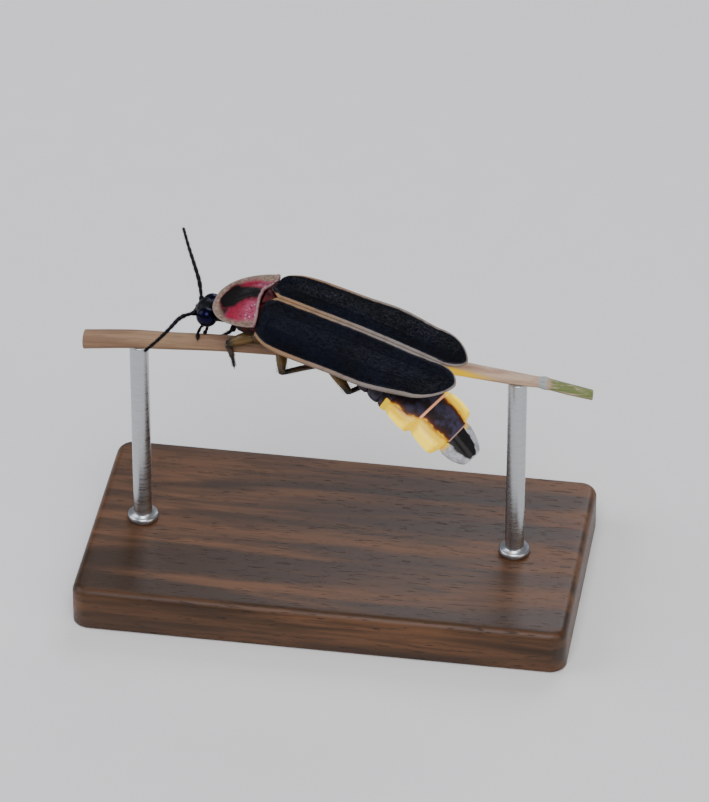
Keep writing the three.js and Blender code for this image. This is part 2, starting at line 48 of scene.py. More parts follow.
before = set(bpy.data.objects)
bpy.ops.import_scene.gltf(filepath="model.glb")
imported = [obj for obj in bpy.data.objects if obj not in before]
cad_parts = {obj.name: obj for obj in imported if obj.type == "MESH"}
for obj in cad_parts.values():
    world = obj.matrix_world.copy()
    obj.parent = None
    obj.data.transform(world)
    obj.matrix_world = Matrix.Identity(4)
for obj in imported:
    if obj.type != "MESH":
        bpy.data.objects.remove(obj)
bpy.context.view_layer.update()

MM = 0.001
AHEAD = np.array([1.0, 0.0, 0.0])
RIGHT = np.array([0.0, 1.0, 0.0])
UP = np.array([0.0, 0.0, 1.0])
# Radians from one hair round a limb to the next, near the golden angle.
GOLDEN_TURN = 2.4

# Shape of the animal, in millimetres. The beetle's own frame runs X to the tail, Y to its right and
# Z to its back, from the tip of the scutellum.
BODY_AT = (-3.0, -0.7, 17.0)
BODY_TURN = {"yaw": -14.9, "pitch": 7.5, "roll": 22.7}

# The wing cases part round the scutellum in front of seam_x and at the tips behind part_x, narrow
# behind round_x and rise off the abdomen behind lift_x. The powers round off their arch and tips.
ELYTRON = {
    "base_x": -0.43,
    "tip_x": 10.38,
    "tip_y": 0.76,
    "part_x": 9.2,
    "round_x": 8.2,
    "tip_lift": 0.22,
    "seam": 0.02,
    "half_width": [(-0.5, 1.8), (-0.1, 2.08), (0.5, 2.31), (1.5, 2.42), (4, 2.43), (6, 2.47), (8.2, 2.14)],
    "arch": [(-0.5, 0.94), (0.1, 1.05), (1.5, 1.03), (4, 0.97), (6, 0.84), (8, 0.6), (9.6, 0.28),
             (10.4, 0.1)],
    "arch_power": 2.4,
    "tip_power": 0.72,
    "seam_x": 0.1,
    "lift_x": 7.5,
    "ribs": (0.34, 0.64),
    "rib_height": 0.025,
    "rib_width": 0.022,
    "rolled_long": 0.22,
    "rolled_deep": 0.14,
    "shoulder": {"height": 0.22, "x": 0.15, "y": 1.6, "long": 0.7, "wide": 0.36},
    "rim_height": 0.05,
    "lip": 0.13,
}
SCUTELLUM = {"front_x": -0.44, "half_width": 0.42, "tucked": 0.16, "thick": 0.3}
MIDDLE_BACK = {"front_x": -1.3, "rear_x": 0.4, "width": 0.86, "below": 0.3, "dip": 0.42, "thick": 0.25}
PRONOTUM = {
    "at": (-0.562, 0, 0.227),
    "turn": {"yaw": 5.3, "pitch": -21.1, "roll": -7.7},
    "length": 3.07,
    "half_width": 1.87,
    "hump": 0.69,
    "long_power": 2.2,
    "wide_power": 2.3,
}
# The shield's black spot in its own frame: half width along it, and how far its middle leans right.
SPOT = {
    "half_width": [(-2.8, 0.0), (-2.62, 0.42), (-2.3, 0.74), (-1.9, 0.72), (-1.5, 0.6), (-1.0, 0.42),
                   (-0.5, 0.3), (-0.1, 0.22)],
    "lean": [(-2.9, 0.0), (-2.4, 0.18), (-1.3, 0.18), (-0.2, 0.0)],
}
# The red patches beside it: their outer limit along the shield, and their ends.
PATCH = {
    "outer": [(-2.1, 1.0), (-1.7, 1.28), (-1.1, 1.36), (-0.5, 1.3), (-0.1, 1.2)],
    "front": -1.88,
    "rear": -0.16,
}
PROTHORAX = {"front_x": -2.15, "rear_x": -0.22, "half_width": 1.2, "top": -0.3, "bottom": -1.75}
HEAD = {
    "at": (-3.93, -0.36, -2.3),
    "turn": {"yaw": 8, "pitch": -24, "roll": -7.7},
    "length": 1.25,
    "width": 1.5,
    "height": 1.45,
    "eye_radius": 0.56,
    "eye_at": (0.18, 0.48, 0.12),
}
PALP = {
    "root": (-0.3, 0.18, -0.66),
    "left": [(-4.02, -1.3, -2.68), (-3.74, -2.02, -2.46)],
    "right": [(-3.76, -0.95, -3.05), (-3.64, -1.46, -2.62)],
}
ANTENNAE = {
    "left": [(-4.3, -0.62, -2.2), (-4.68, -1.13, -1.92), (-4.82, -1.8, -1.42), (-4.85, -2.65, -1.04),
             (-5.0, -3.75, -0.7), (-5.3, -4.75, -0.55)],
    "right": [(-4.3, -0.2, -2.1), (-4.62, 0.3, -2.04), (-5.05, 1.0, -2.1), (-5.76, 1.88, -2.22),
              (-6.7, 3.02, -2.5), (-7.5, 4.05, -2.78)],
}
THORAX = {"front_x": -0.36, "rear_x": 3.72, "rise": 0.42, "top": 0.02, "bottom": -2.05, "half_width": 1.5}
# Each ring of the abdomen is laid out from RING_GAP behind the one in front, and RING_TUCK more of it
# lies before that, so it reaches under the one in front by the difference. Its cross-section is an
# oval of RING_POWER, and its rows stand at RING_SHARES of its length.
RING_GAP = 0.02
RING_TUCK = 0.12
RING_POWER = 2.3
RING_SHARES = (0, 0.02, 0.05, 0.1, 0.17, 0.25, 0.34, 0.44, 0.54, 0.64, 0.73, 0.81, 0.88, 0.93, 0.97, 0.99, 1)
ABDOMEN = {
    "back": [(3.85, 0, -0.62), (5.9, -0.3, -0.95), (8.15, -0.88, -1.52), (9.58, -1.32, -1.97),
             (10.65, -1.65, -2.52), (12.0, -2.1, -3.58)],
    "lengths": [0.85, 0.85, 0.85, 0.85, 0.6, 1.72, 1.82, 1.95],
    "widths": [2.7, 2.85, 3.0, 3.15, 3.3, 3.6, 3.45, 2.4],
    "heights": [1.6, 1.6, 1.58, 1.52, 1.46, 1.38, 1.24, 1.02],
    "swell": [(0, 0.84), (0.12, 0.93), (0.45, 1), (0.8, 1), (0.93, 0.95), (1, 0.86)],
    "first_lit": 5,
    "tip": 7,
    "roll": -2,
}
# The last plate: its share of its ring's length, how far its keel lies left of its middle, the half
# width of its black at the front, and the share of its length at which the black ends.
TAIL = {"share": 0.93, "lean": 0.12, "black": 0.62, "black_end": 0.84, "columns": 72}
# The back plates of the two lit rings: half width, the share of it lost at the rear corners, how far
# their front edge stands off the ring, and how much further their rear edge does.
BACK_PLATE = {
    "half_widths": (1.3, 0.86),
    "tapers": (0.26, 0.12),
    "raised": 0.035,
    "rise": 0.035,
    "thick": 0.07,
    "columns": 49,
}
# Hip, knee, ankle and the last foot joint's end of each leg.
LEGS = {
    "leg_front_left": [(-0.78, -0.95, -1.75), (-2.17, -1.68, -2.35), (-1.88, -1.86, -3.1),
                       (-1.76, -1.98, -3.85)],
    "leg_front_right": [(-1.25, 0.5, -1.8), (-2.5, 1.3, -2.55), (-2.5, -0.5, -3.0), (-3.2, -0.95, -3.62)],
    "leg_middle_left": [(0.5, -0.75, -2.0), (1.14, -2.17, -2.4), (2.45, -0.62, -3.1), (3.3, -0.2, -3.5)],
    "leg_middle_right": [(0.6, 0.65, -2.0), (1.2, 2.1, -2.45), (2.2, 0.75, -3.1), (3.3, 0.75, -3.5)],
    "leg_hind_left": [(2.9, -0.7, -2.0), (4.75, -1.75, -2.6), (6.0, 0.35, -3.25), (7.0, 0.85, -3.55)],
    "leg_hind_right": [(2.9, 0.75, -2.0), (4.95, 2.0, -2.0), (7.1, 2.25, -2.5), (9.1, 2.35, -2.5)],
}
# The stem's centreline and radius in the stand's frame: X, Z, radius.
STEM = [
    (-13.3, 13.5, 0.5), (-10.7, 13.78, 0.48), (-8.76, 13.87, 0.45), (-5.96, 14.02, 0.43),
    (-1.4, 14.07, 0.42), (2.5, 13.94, 0.41), (5.9, 13.8, 0.39), (8.0, 13.58, 0.36), (9.6, 13.41, 0.33),
    (10.5, 13.35, 0.29), (10.8, 13.33, 0.34), (11.1, 13.27, 0.3), (12.0, 13.08, 0.3), (13.3, 12.85, 0.27),
]

# The lantern's light painted on the stem: how far a point must face it, the least that shows, and its gain.
STEM_LIGHT = {"facing": 0.35, "least": 0.03, "gain": 18}

# The photograph's frame: 802 pixels high at 0.0512 mm each, placed by the tip of the scutellum.
PIXEL = 0.0512
FRAME_PIXELS = (709, 802)
ORIGIN_PIXEL = (276.95, 307.8)
VIEW = {"azimuth": 9, "elevation": 35, "distance": 296, "sensor": 36}

# Each studio lamp's place in metres, its size, its power and its tint, and where they all point.
LAMPS = {
    "key": ((0.03, -0.29, 0.42), 0.26, 1.9, "#f4f6ff"),
    "side": ((-0.42, -0.05, 0.3), 0.35, 1.2, "#eef3ff"),
    "fill": ((0.36, -0.26, 0.22), 0.35, 0.6, "#fff6ea"),
    "rim": ((0.08, 0.42, 0.34), 0.3, 1.2, "#f0f4ff"),
}
LAMPS_AIM = (0, 0, 0.014)
AIR_TINT = "#dfe3ea"
AIR_STRENGTH = 0.34
FLOOR_REACH = 1.5

SIDES = ((-1, "left"), (1, "right"))
# Rows stop this far short of a tip, so that none shrinks to a point.
SHORT = 0.004
# The share of the lantern's strength at which the tail and the stem glow with its painted light.
SPILL = 0.7


# Helpers for numbers and places


def linear(hex_colour):
    """A linear RGB colour from an sRGB hex value such as #a89580."""
    parts = [int(hex_colour[i:i + 2], 16) / 255 for i in (1, 3, 5)]
    return tuple(c / 12.92 if c <= 0.04045 else ((c + 0.055) / 1.055) ** 2.4 for c in parts)


def along(stations, x):
    """A smooth value at x through a few stations of (x, value)."""
    xs, ys = zip(*stations)
    last = len(xs) - 1
    if x <= xs[0]:
        return ys[0]
    if x >= xs[last]:
        return ys[last]
    i = next(k for k in range(last) if x < xs[k + 1])

    def slope(k):
        a, b = max(k - 1, 0), min(k + 1, last)
        return (ys[b] - ys[a]) / (xs[b] - xs[a])

    w = xs[i + 1] - xs[i]
    t = (x - xs[i]) / w
    rise = 3 * t * t - 2 * t ** 3
    enter = t * (1 - t) ** 2 * w * slope(i)
    leave = t * t * (t - 1) * w * slope(i + 1)
    return ys[i] + (ys[i + 1] - ys[i]) * rise + enter + leave


def smooth_step(low, high, x):
    t = np.clip((np.asarray(x, float) - low) / (high - low), 0, 1)
    return t * t * (3 - 2 * t)


def bell(x, middle, width):
    """1 at the middle, fading to nothing a few widths away."""
    return np.exp(-((np.asarray(x, float) - middle) / width) ** 2)


def frame_at(at, turn):
    """A frame at a place, turned by degrees of roll, pitch and yaw."""
    angles = [math.radians(turn[k]) for k in ("roll", "pitch", "yaw")]
    return Matrix.Translation(at) @ Euler(angles).to_matrix().to_4x4()


BODY = frame_at(BODY_AT, BODY_TURN)
SHIELD = BODY @ frame_at(PRONOTUM["at"], PRONOTUM["turn"])
SKULL = BODY @ frame_at(HEAD["at"], HEAD["turn"])
WORLD = Matrix.Identity(4)


def moved(matrix, points):
    """Points of a frame's own millimetres in the frame that it is set in."""
    m = np.array(matrix)
    return np.asarray(points, float) @ m[:3, :3].T + m[:3, 3]


def unit(v):
    v = np.asarray(v, float)
    return v / np.maximum(np.linalg.norm(v, axis=-1, keepdims=True), 1e-12)


def reach_along(line):
    """Each point's distance from the start of a line of points."""
    return np.concatenate([[0], np.cumsum(np.linalg.norm(np.diff(line, axis=0), axis=1))])


def rounded(points, count):
    """Evenly spaced points on a smooth line through a few points."""
    p = [np.array(q, float) for q in points]
    p = [2 * p[0] - p[1], *p, 2 * p[-1] - p[-2]]
    dense = []
    for a, b, c, d in zip(p, p[1:], p[2:], p[3:]):
        gaps = [math.sqrt(np.linalg.norm(q - r)) for q, r in ((b, a), (c, b), (d, c))]
        enter = ((b - a) / gaps[0] - (c - a) / (gaps[0] + gaps[1]) + (c - b) / gaps[1]) * gaps[1]
        leave = ((c - b) / gaps[1] - (d - b) / (gaps[1] + gaps[2]) + (d - c) / gaps[2]) * gaps[1]
        for t in np.linspace(0, 1, 40, endpoint=False):
            rise = 3 * t * t - 2 * t ** 3
            dense.append(b + (c - b) * rise + enter * t * (1 - t) ** 2 + leave * t * t * (t - 1))
    dense = np.array(dense + [p[-2]])
    reach = reach_along(dense)
    wanted = np.linspace(0, reach[-1], count)
    return np.stack([np.interp(wanted, reach, dense[:, k]) for k in range(3)], -1)


# Helpers for shapes


def skin(rings, strip=False):
    """Points and faces of one closed skin over rings of equally many points. A strip closes each end
    of a flat sheet, whose rings run out along the top and back along the bottom."""
    rings = np.asarray(rings, float)
    rows, n = rings.shape[:2]
    a = (np.arange(rows - 1)[:, None] * n + np.arange(n)).ravel()
    b = (np.arange(rows - 1)[:, None] * n + (np.arange(n) + 1) % n).ravel()
    faces = np.stack([a, b, b + n, a + n], -1).tolist()
    for start, flip in ((0, True), ((rows - 1) * n, False)):
        ends = [list(range(start, start + n))]
        if strip:
            ends = [[start + i, start + i + 1, start + n - 2 - i, start + n - 1 - i]
                    for i in range(n // 2 - 1)]
        faces += [f[::-1] if flip else f for f in ends]
    return rings.reshape(-1, 3), faces


def both_sides(upper):
    """Values of a sheet's upper points, given to its lower points too."""
    return np.concatenate([upper, upper[:, ::-1]], axis=1)


def sheet(upper, thick, up=UP):
    """A thin plate under rows of upper points, of one thickness or with one at each of them."""
    lower = upper - up * np.asarray(thick)[..., None]
    return skin(np.concatenate([upper, lower[:, ::-1]], axis=1), strip=True)


def together(parts):
    """Several skins as one list of points and faces."""
    points, faces, start = [], [], 0
    for p, f in parts:
        points.append(p)
        faces += [[i + start for i in face] for face in f]
        start += len(p)
    return np.concatenate(points), faces


def oval(centre, across, up, half_width, half_height, count, power=2.0):
    """A ring round a centre, squarer than an ellipse where the power is over 2."""
    a = 2 * math.pi * np.arange(count) / count
    c, s = np.cos(a), np.sin(a)
    x = np.sign(c) * np.abs(c) ** (2 / power) * half_width
    y = np.sign(s) * np.abs(s) ** (2 / power) * half_height
    return np.asarray(centre) + x[:, None] * across + y[:, None] * up


def tube(points, radii, sides=16, flat=1.0):
    """A limb through points, with a radius at each, and rounded ends."""
    points = np.asarray(points, float)
    ahead = unit(np.gradient(points, axis=0))
    across = unit(np.cross((0.31, 0.17, 0.93), ahead[0]))
    last = len(points) - 1
    rings = []
    for k, (p, d, r) in enumerate(zip(points, ahead, radii)):
        across = unit(across - np.dot(across, d) * d)
        up = np.cross(d, across)
        steps = [(0.0, 1.0)]
        if k == 0:
            steps = [(-0.5, 0.3), (-0.3, 0.75), *steps]
        if k == last:
            steps = [*steps, (0.3, 0.75), (0.5, 0.3)]
        rings += [oval(p + d * r * off, across, up, r * s, r * s * flat, sides) for off, s in steps]
    return skin(rings)


def straight(start, end, radii, sides=14, flat=1.0, bow=0.0):
    """One piece of a limb, with radii spread evenly from end to end and a slight bow upwards."""
    start, end = np.array(start, float), np.array(end, float)
    t = np.linspace(0, 1, 12)
    points = start + (end - start) * t[:, None] + UP * (bow * 4 * t * (1 - t))[:, None]
    return tube(points, np.interp(t, np.linspace(0, 1, len(radii)), radii), sides, flat)


def ball(centre, size, columns=40, rows=26):
    """An ellipsoid skin, its poles along Z."""
    rings = []
    for v in np.linspace(0.02, math.pi - 0.02, rows):
        at = np.array(centre, float) + UP * size[2] * -math.cos(v)
        rings.append(oval(at, AHEAD, RIGHT, size[0] * math.sin(v), size[1] * math.sin(v), columns))
    return skin(rings)


def mesh_of(name, points, faces):
    """A mesh with its faces all turned outwards."""
    mesh = bpy.data.meshes.new(name)
    mesh.from_pydata(np.asarray(points).tolist(), [], faces)
    work = bmesh.new()
    work.from_mesh(mesh)
    bmesh.ops.recalc_face_normals(work, faces=work.faces)
    work.to_mesh(mesh)
    work.free()
    return mesh


def placed(name, data):
    """A new object in the scene."""
    made = bpy.data.objects.new(name, data)
    bpy.context.scene.collection.objects.link(made)
    return made


def piece(name, shape, material, place, nodes=(), attributes=None):
    """Makes a mesh object from points in a frame's millimetres. The attribute own keeps those points,
    so that patterns are set out in real millimetres."""
    points, faces = shape
    mesh = mesh_of(name, moved(place, points) * MM, faces)
    own = mesh.attributes.new("own", "FLOAT_VECTOR", "POINT")
    own.data.foreach_set("vector", np.asarray(points, float).ravel())
    for key, values in (attributes or {}).items():
        made = mesh.attributes.new(key, "FLOAT", "POINT")
        made.data.foreach_set("value", np.asarray(values, float).ravel())
    mesh.shade_smooth()
    mesh.materials.append(material)
    made = placed(name, mesh)
    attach(made, "root")
    if nodes:
        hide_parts(*nodes)
    return made


def melted(name, parts, voxel):
    """Overlapping skins melted into one smooth closed form, in the same millimetres."""
    mesh = mesh_of(name, *together(parts))
    made = placed(name, mesh)
    remesh = made.modifiers.new("melt", "REMESH")
    remesh.mode = "VOXEL"
    remesh.voxel_size = voxel
    soft = made.modifiers.new("soften", "SMOOTH")
    soft.factor = 0.6
    soft.iterations = 4
    solid = made.evaluated_get(bpy.context.evaluated_depsgraph_get()).to_mesh()
    result = np.array([v.co[:] for v in solid.vertices]), [list(p.vertices) for p in solid.polygons]
    bpy.data.objects.remove(made)
    bpy.data.meshes.remove(mesh)
    return result


# Helpers for hairs


def sown(grid, count, seed, keep=None):
    """Random hair roots on rows of points: places, normals, lay along the columns and map spots."""
    rng = np.random.default_rng(seed)
    rows, columns = grid.shape[:2]
    corner = grid[:-1, :-1]
    down, across = grid[1:, :-1] - corner, grid[:-1, 1:] - corner
    area = np.linalg.norm(np.cross(down, across), axis=-1)
    if keep is not None:
        area = area * keep[:-1, :-1]
    chosen = rng.choice(area.size, count, p=(area / area.sum()).ravel())
    i, j = np.unravel_index(chosen, area.shape)
    u, v = rng.random((2, count, 1))
    roots = corner[i, j] + down[i, j] * u + across[i, j] * v
    normals = unit(np.cross(down[i, j], across[i, j]))
    normals = np.where(normals[:, 2:] < 0, -normals, normals)
    spots = np.stack([0.02 + 0.96 * (i + u[:, 0]) / rows, 0.02 + 0.96 * (j + v[:, 0]) / columns], -1)
    return roots, normals, unit(down[i, j]), spots


def wound(limbs):
    """Hair roots wound evenly round straight limbs of (start, end, radius, count)."""
    found = []
    for at, (a, b, radius, count) in enumerate(limbs):
        ahead = unit(b - a)
        across = unit(np.cross(ahead, (0.2, 0.3, 1)))
        turn = np.arange(count) * GOLDEN_TURN
        out = np.cos(turn)[:, None] * across + np.sin(turn)[:, None] * np.cross(ahead, across)
        share = 0.04 + 0.92 * (np.arange(count) + 0.5) / count
        roots = a + (b - a) * share[:, None] + out * radius
        spots = np.stack([(at + share) / len(limbs), turn / (2 * math.pi) % 1], -1) * 0.96 + 0.02
        found.append((roots, out, np.broadcast_to(ahead, roots.shape), spots))
    return [np.concatenate(lists) for lists in zip(*found)]


def setae(name, rooted, material, place, *, length, thick, rise, seed):
    """Fine hairs as thin three-sided spikes. Each is a small patch of the map at its root's spot."""
    roots, normals, lay, spots = rooted
    rng = np.random.default_rng(seed)
    n = len(roots)
    lay = unit(lay + rng.normal(0, 0.22, (n, 3)))
    lay = unit(lay - (lay * normals).sum(1, keepdims=True) * normals)
    side = np.cross(normals, lay)
    size = length * rng.uniform(0.7, 1.25, (n, 1))
    lift = rise * rng.uniform(0.6, 1.4, (n, 1))
    middle = roots + lay * size * 0.55 + normals * size * lift * 0.75
    base = roots - normals * thick
    points = np.empty((n, 7, 3))
    for k, a in enumerate((0.5, 2.6, 4.7)):
        out = (side * math.cos(a) + normals * math.sin(a)) * thick
        points[:, k] = base + out
        points[:, 3 + k] = middle + out * 0.7
    points[:, 6] = roots + lay * size + normals * size * lift * 0.9
    first = np.arange(n)[:, None] * 7
    faces = []
    for k in range(3):
        m = (k + 1) % 3
        faces += (first + [k, m, 3 + m, 3 + k]).tolist()
        faces += (first + [3 + k, 3 + m, 6]).tolist()
    made = piece(name, (points.reshape(-1, 3), faces), material, place)
    patch = 0.0015 * np.array([[-1, -1], [1, -1], [0, -1], [-1, 0], [1, 0], [0, 0], [0, 1]])
    spread = (np.asarray(spots)[:, None, :] + patch).reshape(-1, 2)
    corners = np.empty(len(made.data.loops), int)
    made.data.loops.foreach_get("vertex_index", corners)
    made.data.uv_layers.new(name="OFBake").data.foreach_set("uv", spread[corners].ravel())
    return made


# Materials

# What nodes of a kind are set to where a call says nothing else: soft steps, and mixes of colours.
USUAL = {"MapRange": {"interpolation_type": "SMOOTHSTEP"}, "Mix": {"data_type": "RGBA"}}
LINEAR = {"interpolation_type": "LINEAR"}
DARK = (0.0, 0.0, 0.0)


def add(tree, kind, inputs=(), stops=(), **settings):
    """Adds a shader node with its settings, and sets or links its inputs, which are named or in their
    order. A node given as an input links by its first output. Stops are a colour ramp's."""
    made = tree.nodes.new("ShaderNode" + kind)
    for key, value in {**USUAL.get(kind, {}), **settings}.items():
        setattr(made, key, value)
    for k, (at, colour) in enumerate(stops):
        elements = made.color_ramp.elements
        element = elements[k] if k < len(elements) else elements.new(at)
        element.position = at
        element.color = (*colour, 1.0)
    sockets = [socket for socket in made.inputs if socket.enabled]
    if not isinstance(inputs, dict):
        inputs = dict(enumerate(inputs))
    for key, value in inputs.items():
        socket = sockets[key] if isinstance(key, int) else made.inputs[key]
        if isinstance(value, bpy.types.Node):
            value = next(output for output in value.outputs if output.enabled)
        if isinstance(value, bpy.types.NodeSocket):
            tree.links.new(value, socket)
        else:
            socket.default_value = (*value, 1.0) if socket.type == "RGBA" else value
    return made


def begin(name, *attributes):
    """An empty material, a function that adds its nodes, the piece's own millimetres and the values of
    its attributes. In those millimetres a texture's scale of 1 / 0.2 draws marks of about 0.2 mm."""
    material = bpy.data.materials.new(name)
    material.use_nodes = True
    material.node_tree.nodes.clear()
    node = functools.partial(add, material.node_tree)
    own = node("Attribute", attribute_name="own").outputs["Vector"]
    return material, node, own, *(node("Attribute", attribute_name=key).outputs["Fac"] for key in attributes)


def finish(material, node, shader, relief=()):
    """The material with its shader and output, over layers of relief as (height, millimetres)."""
    for height, deep in relief:
        below = {"Normal": shader["Normal"]} if "Normal" in shader else {}
        shader["Normal"] = node("Bump", {"Height": height, "Distance": deep * MM, **below})
    node("OutputMaterial", [node("BsdfPrincipled", shader)])
    return material


def elytron_cuticle(colours):
    """Tanned leathery chitin, black with a blue cast, finely wrinkled under a close dark down that
    gives it a velvet sheen. Its margins are untanned, so they stay pale and horny. The attributes
    edge and rim are the distance to the nearest margin and that margin's width."""
    material, node, own, edge, rim = begin("velvet_black_elytron_cuticle", "edge", "rim")
    cloud = node("TexNoise", {"Vector": own, "Scale": 1 / 2.4})
    wrinkle = node("TexNoise", {"Vector": own, "Scale": 1 / 0.2, "Detail": 5.0})
    granule = node("TexVoronoi", {"Vector": own, "Scale": 1 / 0.06})
    waver = node("TexNoise", {"Vector": own, "Scale": 1 / 0.5, "Detail": 3.0})
    blue = node("MapRange", [cloud, 0.36, 0.66])
    dark = node("Mix", [blue, colours.elytron_black, colours.elytron_blue])
    toward_tail = node("MapRange", [node("SeparateXYZ", [own]), 0.5, 6.5])
    pale = node("Mix", [toward_tail, colours.rim_front, colours.rim_rear])
    patchy = node("MapRange", [waver, 0.45, 0.75, 0.0, 0.5])
    pale = node("Mix", [patchy, pale, colours.rim_shade])
    inward = node("Math", [edge, rim], operation="SUBTRACT")
    inward = node("Math", [inward, node("MapRange", [waver, 0.2, 0.8, -0.02, 0.02], **LINEAR)])
    tanned = node("MapRange", [inward, -0.025, 0.035])
    shine = node("MapRange", [wrinkle, 0.3, 0.7, 0.44, 0.6])
    return finish(material, node, {
        "Base Color": node("Mix", [tanned, pale, dark]),
        "Roughness": shine,
        "IOR": 1.54,
        "Specular IOR Level": 0.1,
        "Sheen Weight": 0.02,
        "Sheen Roughness": 0.35,
        "Sheen Tint": linear("#8fa6e0"),
    }, relief=((wrinkle, 0.006), (granule, 0.005)))


def shield_cuticle(colours):
    """Thin horny chitin: clear and beige at the flared rim, with crimson tissue showing through at
    either side of a black middle, and a glossier wet-looking part towards the rear, where lilac specks
    are painted highlights. The attributes spot and patch are distances in millimetres to those regions,
    less than 0 inside, and edge is the distance to the shield's outer margin."""
    material, node, own, edge, spot, patch = begin("stained_horn_shield_cuticle", "edge", "spot", "patch")
    back = node("SeparateXYZ", [own])
    speck = node("TexNoise", {"Vector": own, "Scale": 1 / 0.14, "Detail": 5.0})
    cloud = node("TexNoise", {"Vector": own, "Scale": 1 / 0.6, "Detail": 4.0})
    glint_cells = node("TexVoronoi", {"Vector": own, "Scale": 1 / 0.13})
    stray = node("MapRange", [cloud, 0.2, 0.8, -0.14, 0.14], **LINEAR)

    grain = node("MapRange", [speck, 0.35, 0.65], **LINEAR)
    horn = node("Mix", [grain, colours.horn_shade, colours.horn_pale])
    horn = node("Mix", [node("MapRange", [edge, 0.0, 0.12]), colours.horn_edge, horn])
    # Darker red brown towards the shield's front, inside its rim.
    front = node("MapRange", [back, -1.15, -1.8])
    inner = node("MapRange", [edge, 0.14, 0.38])
    front_stain = node("Math", [front, inner], operation="MULTIPLY")
    horn = node("Mix", [front_stain, horn, colours.front_stain])

    toward_rear = node("MapRange", [back, -1.5, -0.3])
    red = node("Mix", [toward_rear, colours.crimson, colours.rose])
    mottled = node("MapRange", [speck, 0.48, 0.68, 0.0, 0.7])
    red = node("Mix", [mottled, red, colours.crimson_deep])
    patch_reach = node("Math", [patch, stray])
    blush = node("MapRange", [patch_reach, 0.26, 0.0, 0.0, 0.6])
    in_patch = node("MapRange", [patch_reach, 0.06, -0.08])
    spot_reach = node("Math", [spot, stray])
    halo = node("MapRange", [spot_reach, 0.3, 0.02, 0.0, 0.85])
    black = node("MapRange", [spot_reach, 0.09, -0.05])

    wet_front = node("MapRange", [back, -0.9, -0.55])
    wet_side = node("MapRange", [patch_reach, 0.16, 0.0])
    clear_of_spot = node("MapRange", [spot_reach, 0.2, 0.4])
    wet = node("Math", [wet_front, wet_side], operation="MULTIPLY")
    wet = node("Math", [wet, clear_of_spot], operation="MULTIPLY")
    # Painted highlights: lilac specks in the glossy wet-looking part stand for glints on it.
    painted_glints = node("MapRange", [glint_cells, 0.5, 0.2])
    painted_glints = node("Math", [painted_glints, node("MapRange", [speck, 0.42, 0.6])], operation="MULTIPLY")
    painted_glints = node("Math", [painted_glints, wet], operation="MULTIPLY")
    ridge = node("MapRange", [back, -0.13, -0.08, 0.0, 0.9])
    layers = [
        (blush, colours.rose),
        (in_patch, red),
        (halo, colours.crimson_deep),
        (black, colours.shield_black),
        (painted_glints, colours.wet_lilac),
        (ridge, colours.rear_ridge),
    ]
    colour = horn
    for mask, paint in layers:
        colour = node("Mix", [mask, colour, paint])

    pits = node("TexVoronoi", {"Vector": own, "Scale": 1 / 0.09})
    return finish(material, node, {
        "Base Color": colour,
        "Roughness": node("MapRange", [wet, 0.0, 1.0, 0.42, 0.22], **LINEAR),
        "IOR": 1.54,
        "Specular IOR Level": 0.12,
        "Subsurface Weight": 0.1,
        "Subsurface Radius": (0.9, 0.4, 0.25),
        "Subsurface Scale": 0.2 * MM,
        "Coat Weight": 0.05,
        "Coat Roughness": 0.16,
    }, relief=((speck, 0.012), (pits, 0.01), (cloud, 0.03)))


def hard_cuticle(name, dark, light, blotch_mm, roughness, coat=0.0):
    """Hard tanned chitin in one colour family, finely pitted, its gloss broken by the pits."""
    material, node, own = begin(name)
    blotch = node("TexNoise", {"Vector": own, "Scale": 1 / blotch_mm, "Detail": 4.0})
    fine = node("TexNoise", {"Vector": own, "Scale": 1 / 0.07, "Detail": 5.0})
    pits = node("TexVoronoi", {"Vector": own, "Scale": 1 / 0.06})
    return finish(material, node, {
        "Base Color": node("Mix", [node("MapRange", [blotch, 0.38, 0.68]), dark, light]),
        "Roughness": node("MapRange", [fine, 0.3, 0.7, roughness - 0.08, roughness + 0.1]),
        "IOR": 1.54,
        "Specular IOR Level": 0.12,
        "Coat Weight": coat,
        "Coat Roughness": 0.2,
    }, relief=((fine, 0.01), (pits, 0.008)))


def compound_eye(colours):
    """Clear domed facets over black pigment, so a tight highlight breaks up over a fine honeycomb, and
    thin layers in the lens turn it blue violet. The facets are drawn at 0.035 mm, a little coarser
    than the real 0.02 mm, so that they show."""
    material, node, own = begin("faceted_black_eye_lens")
    facet = node("TexVoronoi", {"Vector": own, "Scale": 1 / 0.035, "Randomness": 0.35})
    between = node("MapRange", [facet, 0.2, 0.7], **LINEAR)
    return finish(material, node, {
        "Base Color": node("Mix", [between, colours.eye_black, colours.eye_edge]),
        "Roughness": node("MapRange", [facet, 0.0, 0.8, 0.1, 0.18], **LINEAR),
        "Normal": node("Bump", {"Height": facet, "Distance": 0.002 * MM}, invert=True),
        "Specular IOR Level": 0.22,
        "Specular Tint": linear("#928bff"),
    })


def leg_cuticle(colours):
    """Thin glossy chitin, honey brown along the femur and nearly black at the knee and foot. The
    attribute reach runs from 0 at the hip to 1 at the claws."""
    material, node, own, reach = begin("honey_brown_leg_cuticle", "reach")
    blotch = node("TexNoise", {"Vector": own, "Scale": 1 / 0.25, "Detail": 4.0})
    fine = node("TexNoise", {"Vector": own, "Scale": 1 / 0.05, "Detail": 5.0})
    patchy = node("Math", [reach, node("MapRange", [blotch, 0.2, 0.8, -0.04, 0.04], **LINEAR)])
    brown, honey, dark = colours.leg_brown, colours.leg_honey, colours.leg_dark
    colour = node("ValToRGB", [patchy], stops=[
        (0.0, brown), (0.1, honey), (0.3, honey), (0.38, dark), (0.43, dark), (0.52, brown), (0.72, dark),
        (1.0, dark),
    ])
    return finish(material, node, {
        "Base Color": colour,
        "Roughness": node("MapRange", [fine, 0.3, 0.7, 0.3, 0.48]),
        "IOR": 1.54,
        "Specular IOR Level": 0.3,
        "Coat Weight": 0.08,
        "Coat Roughness": 0.2,
    }, relief=((fine, 0.01),))


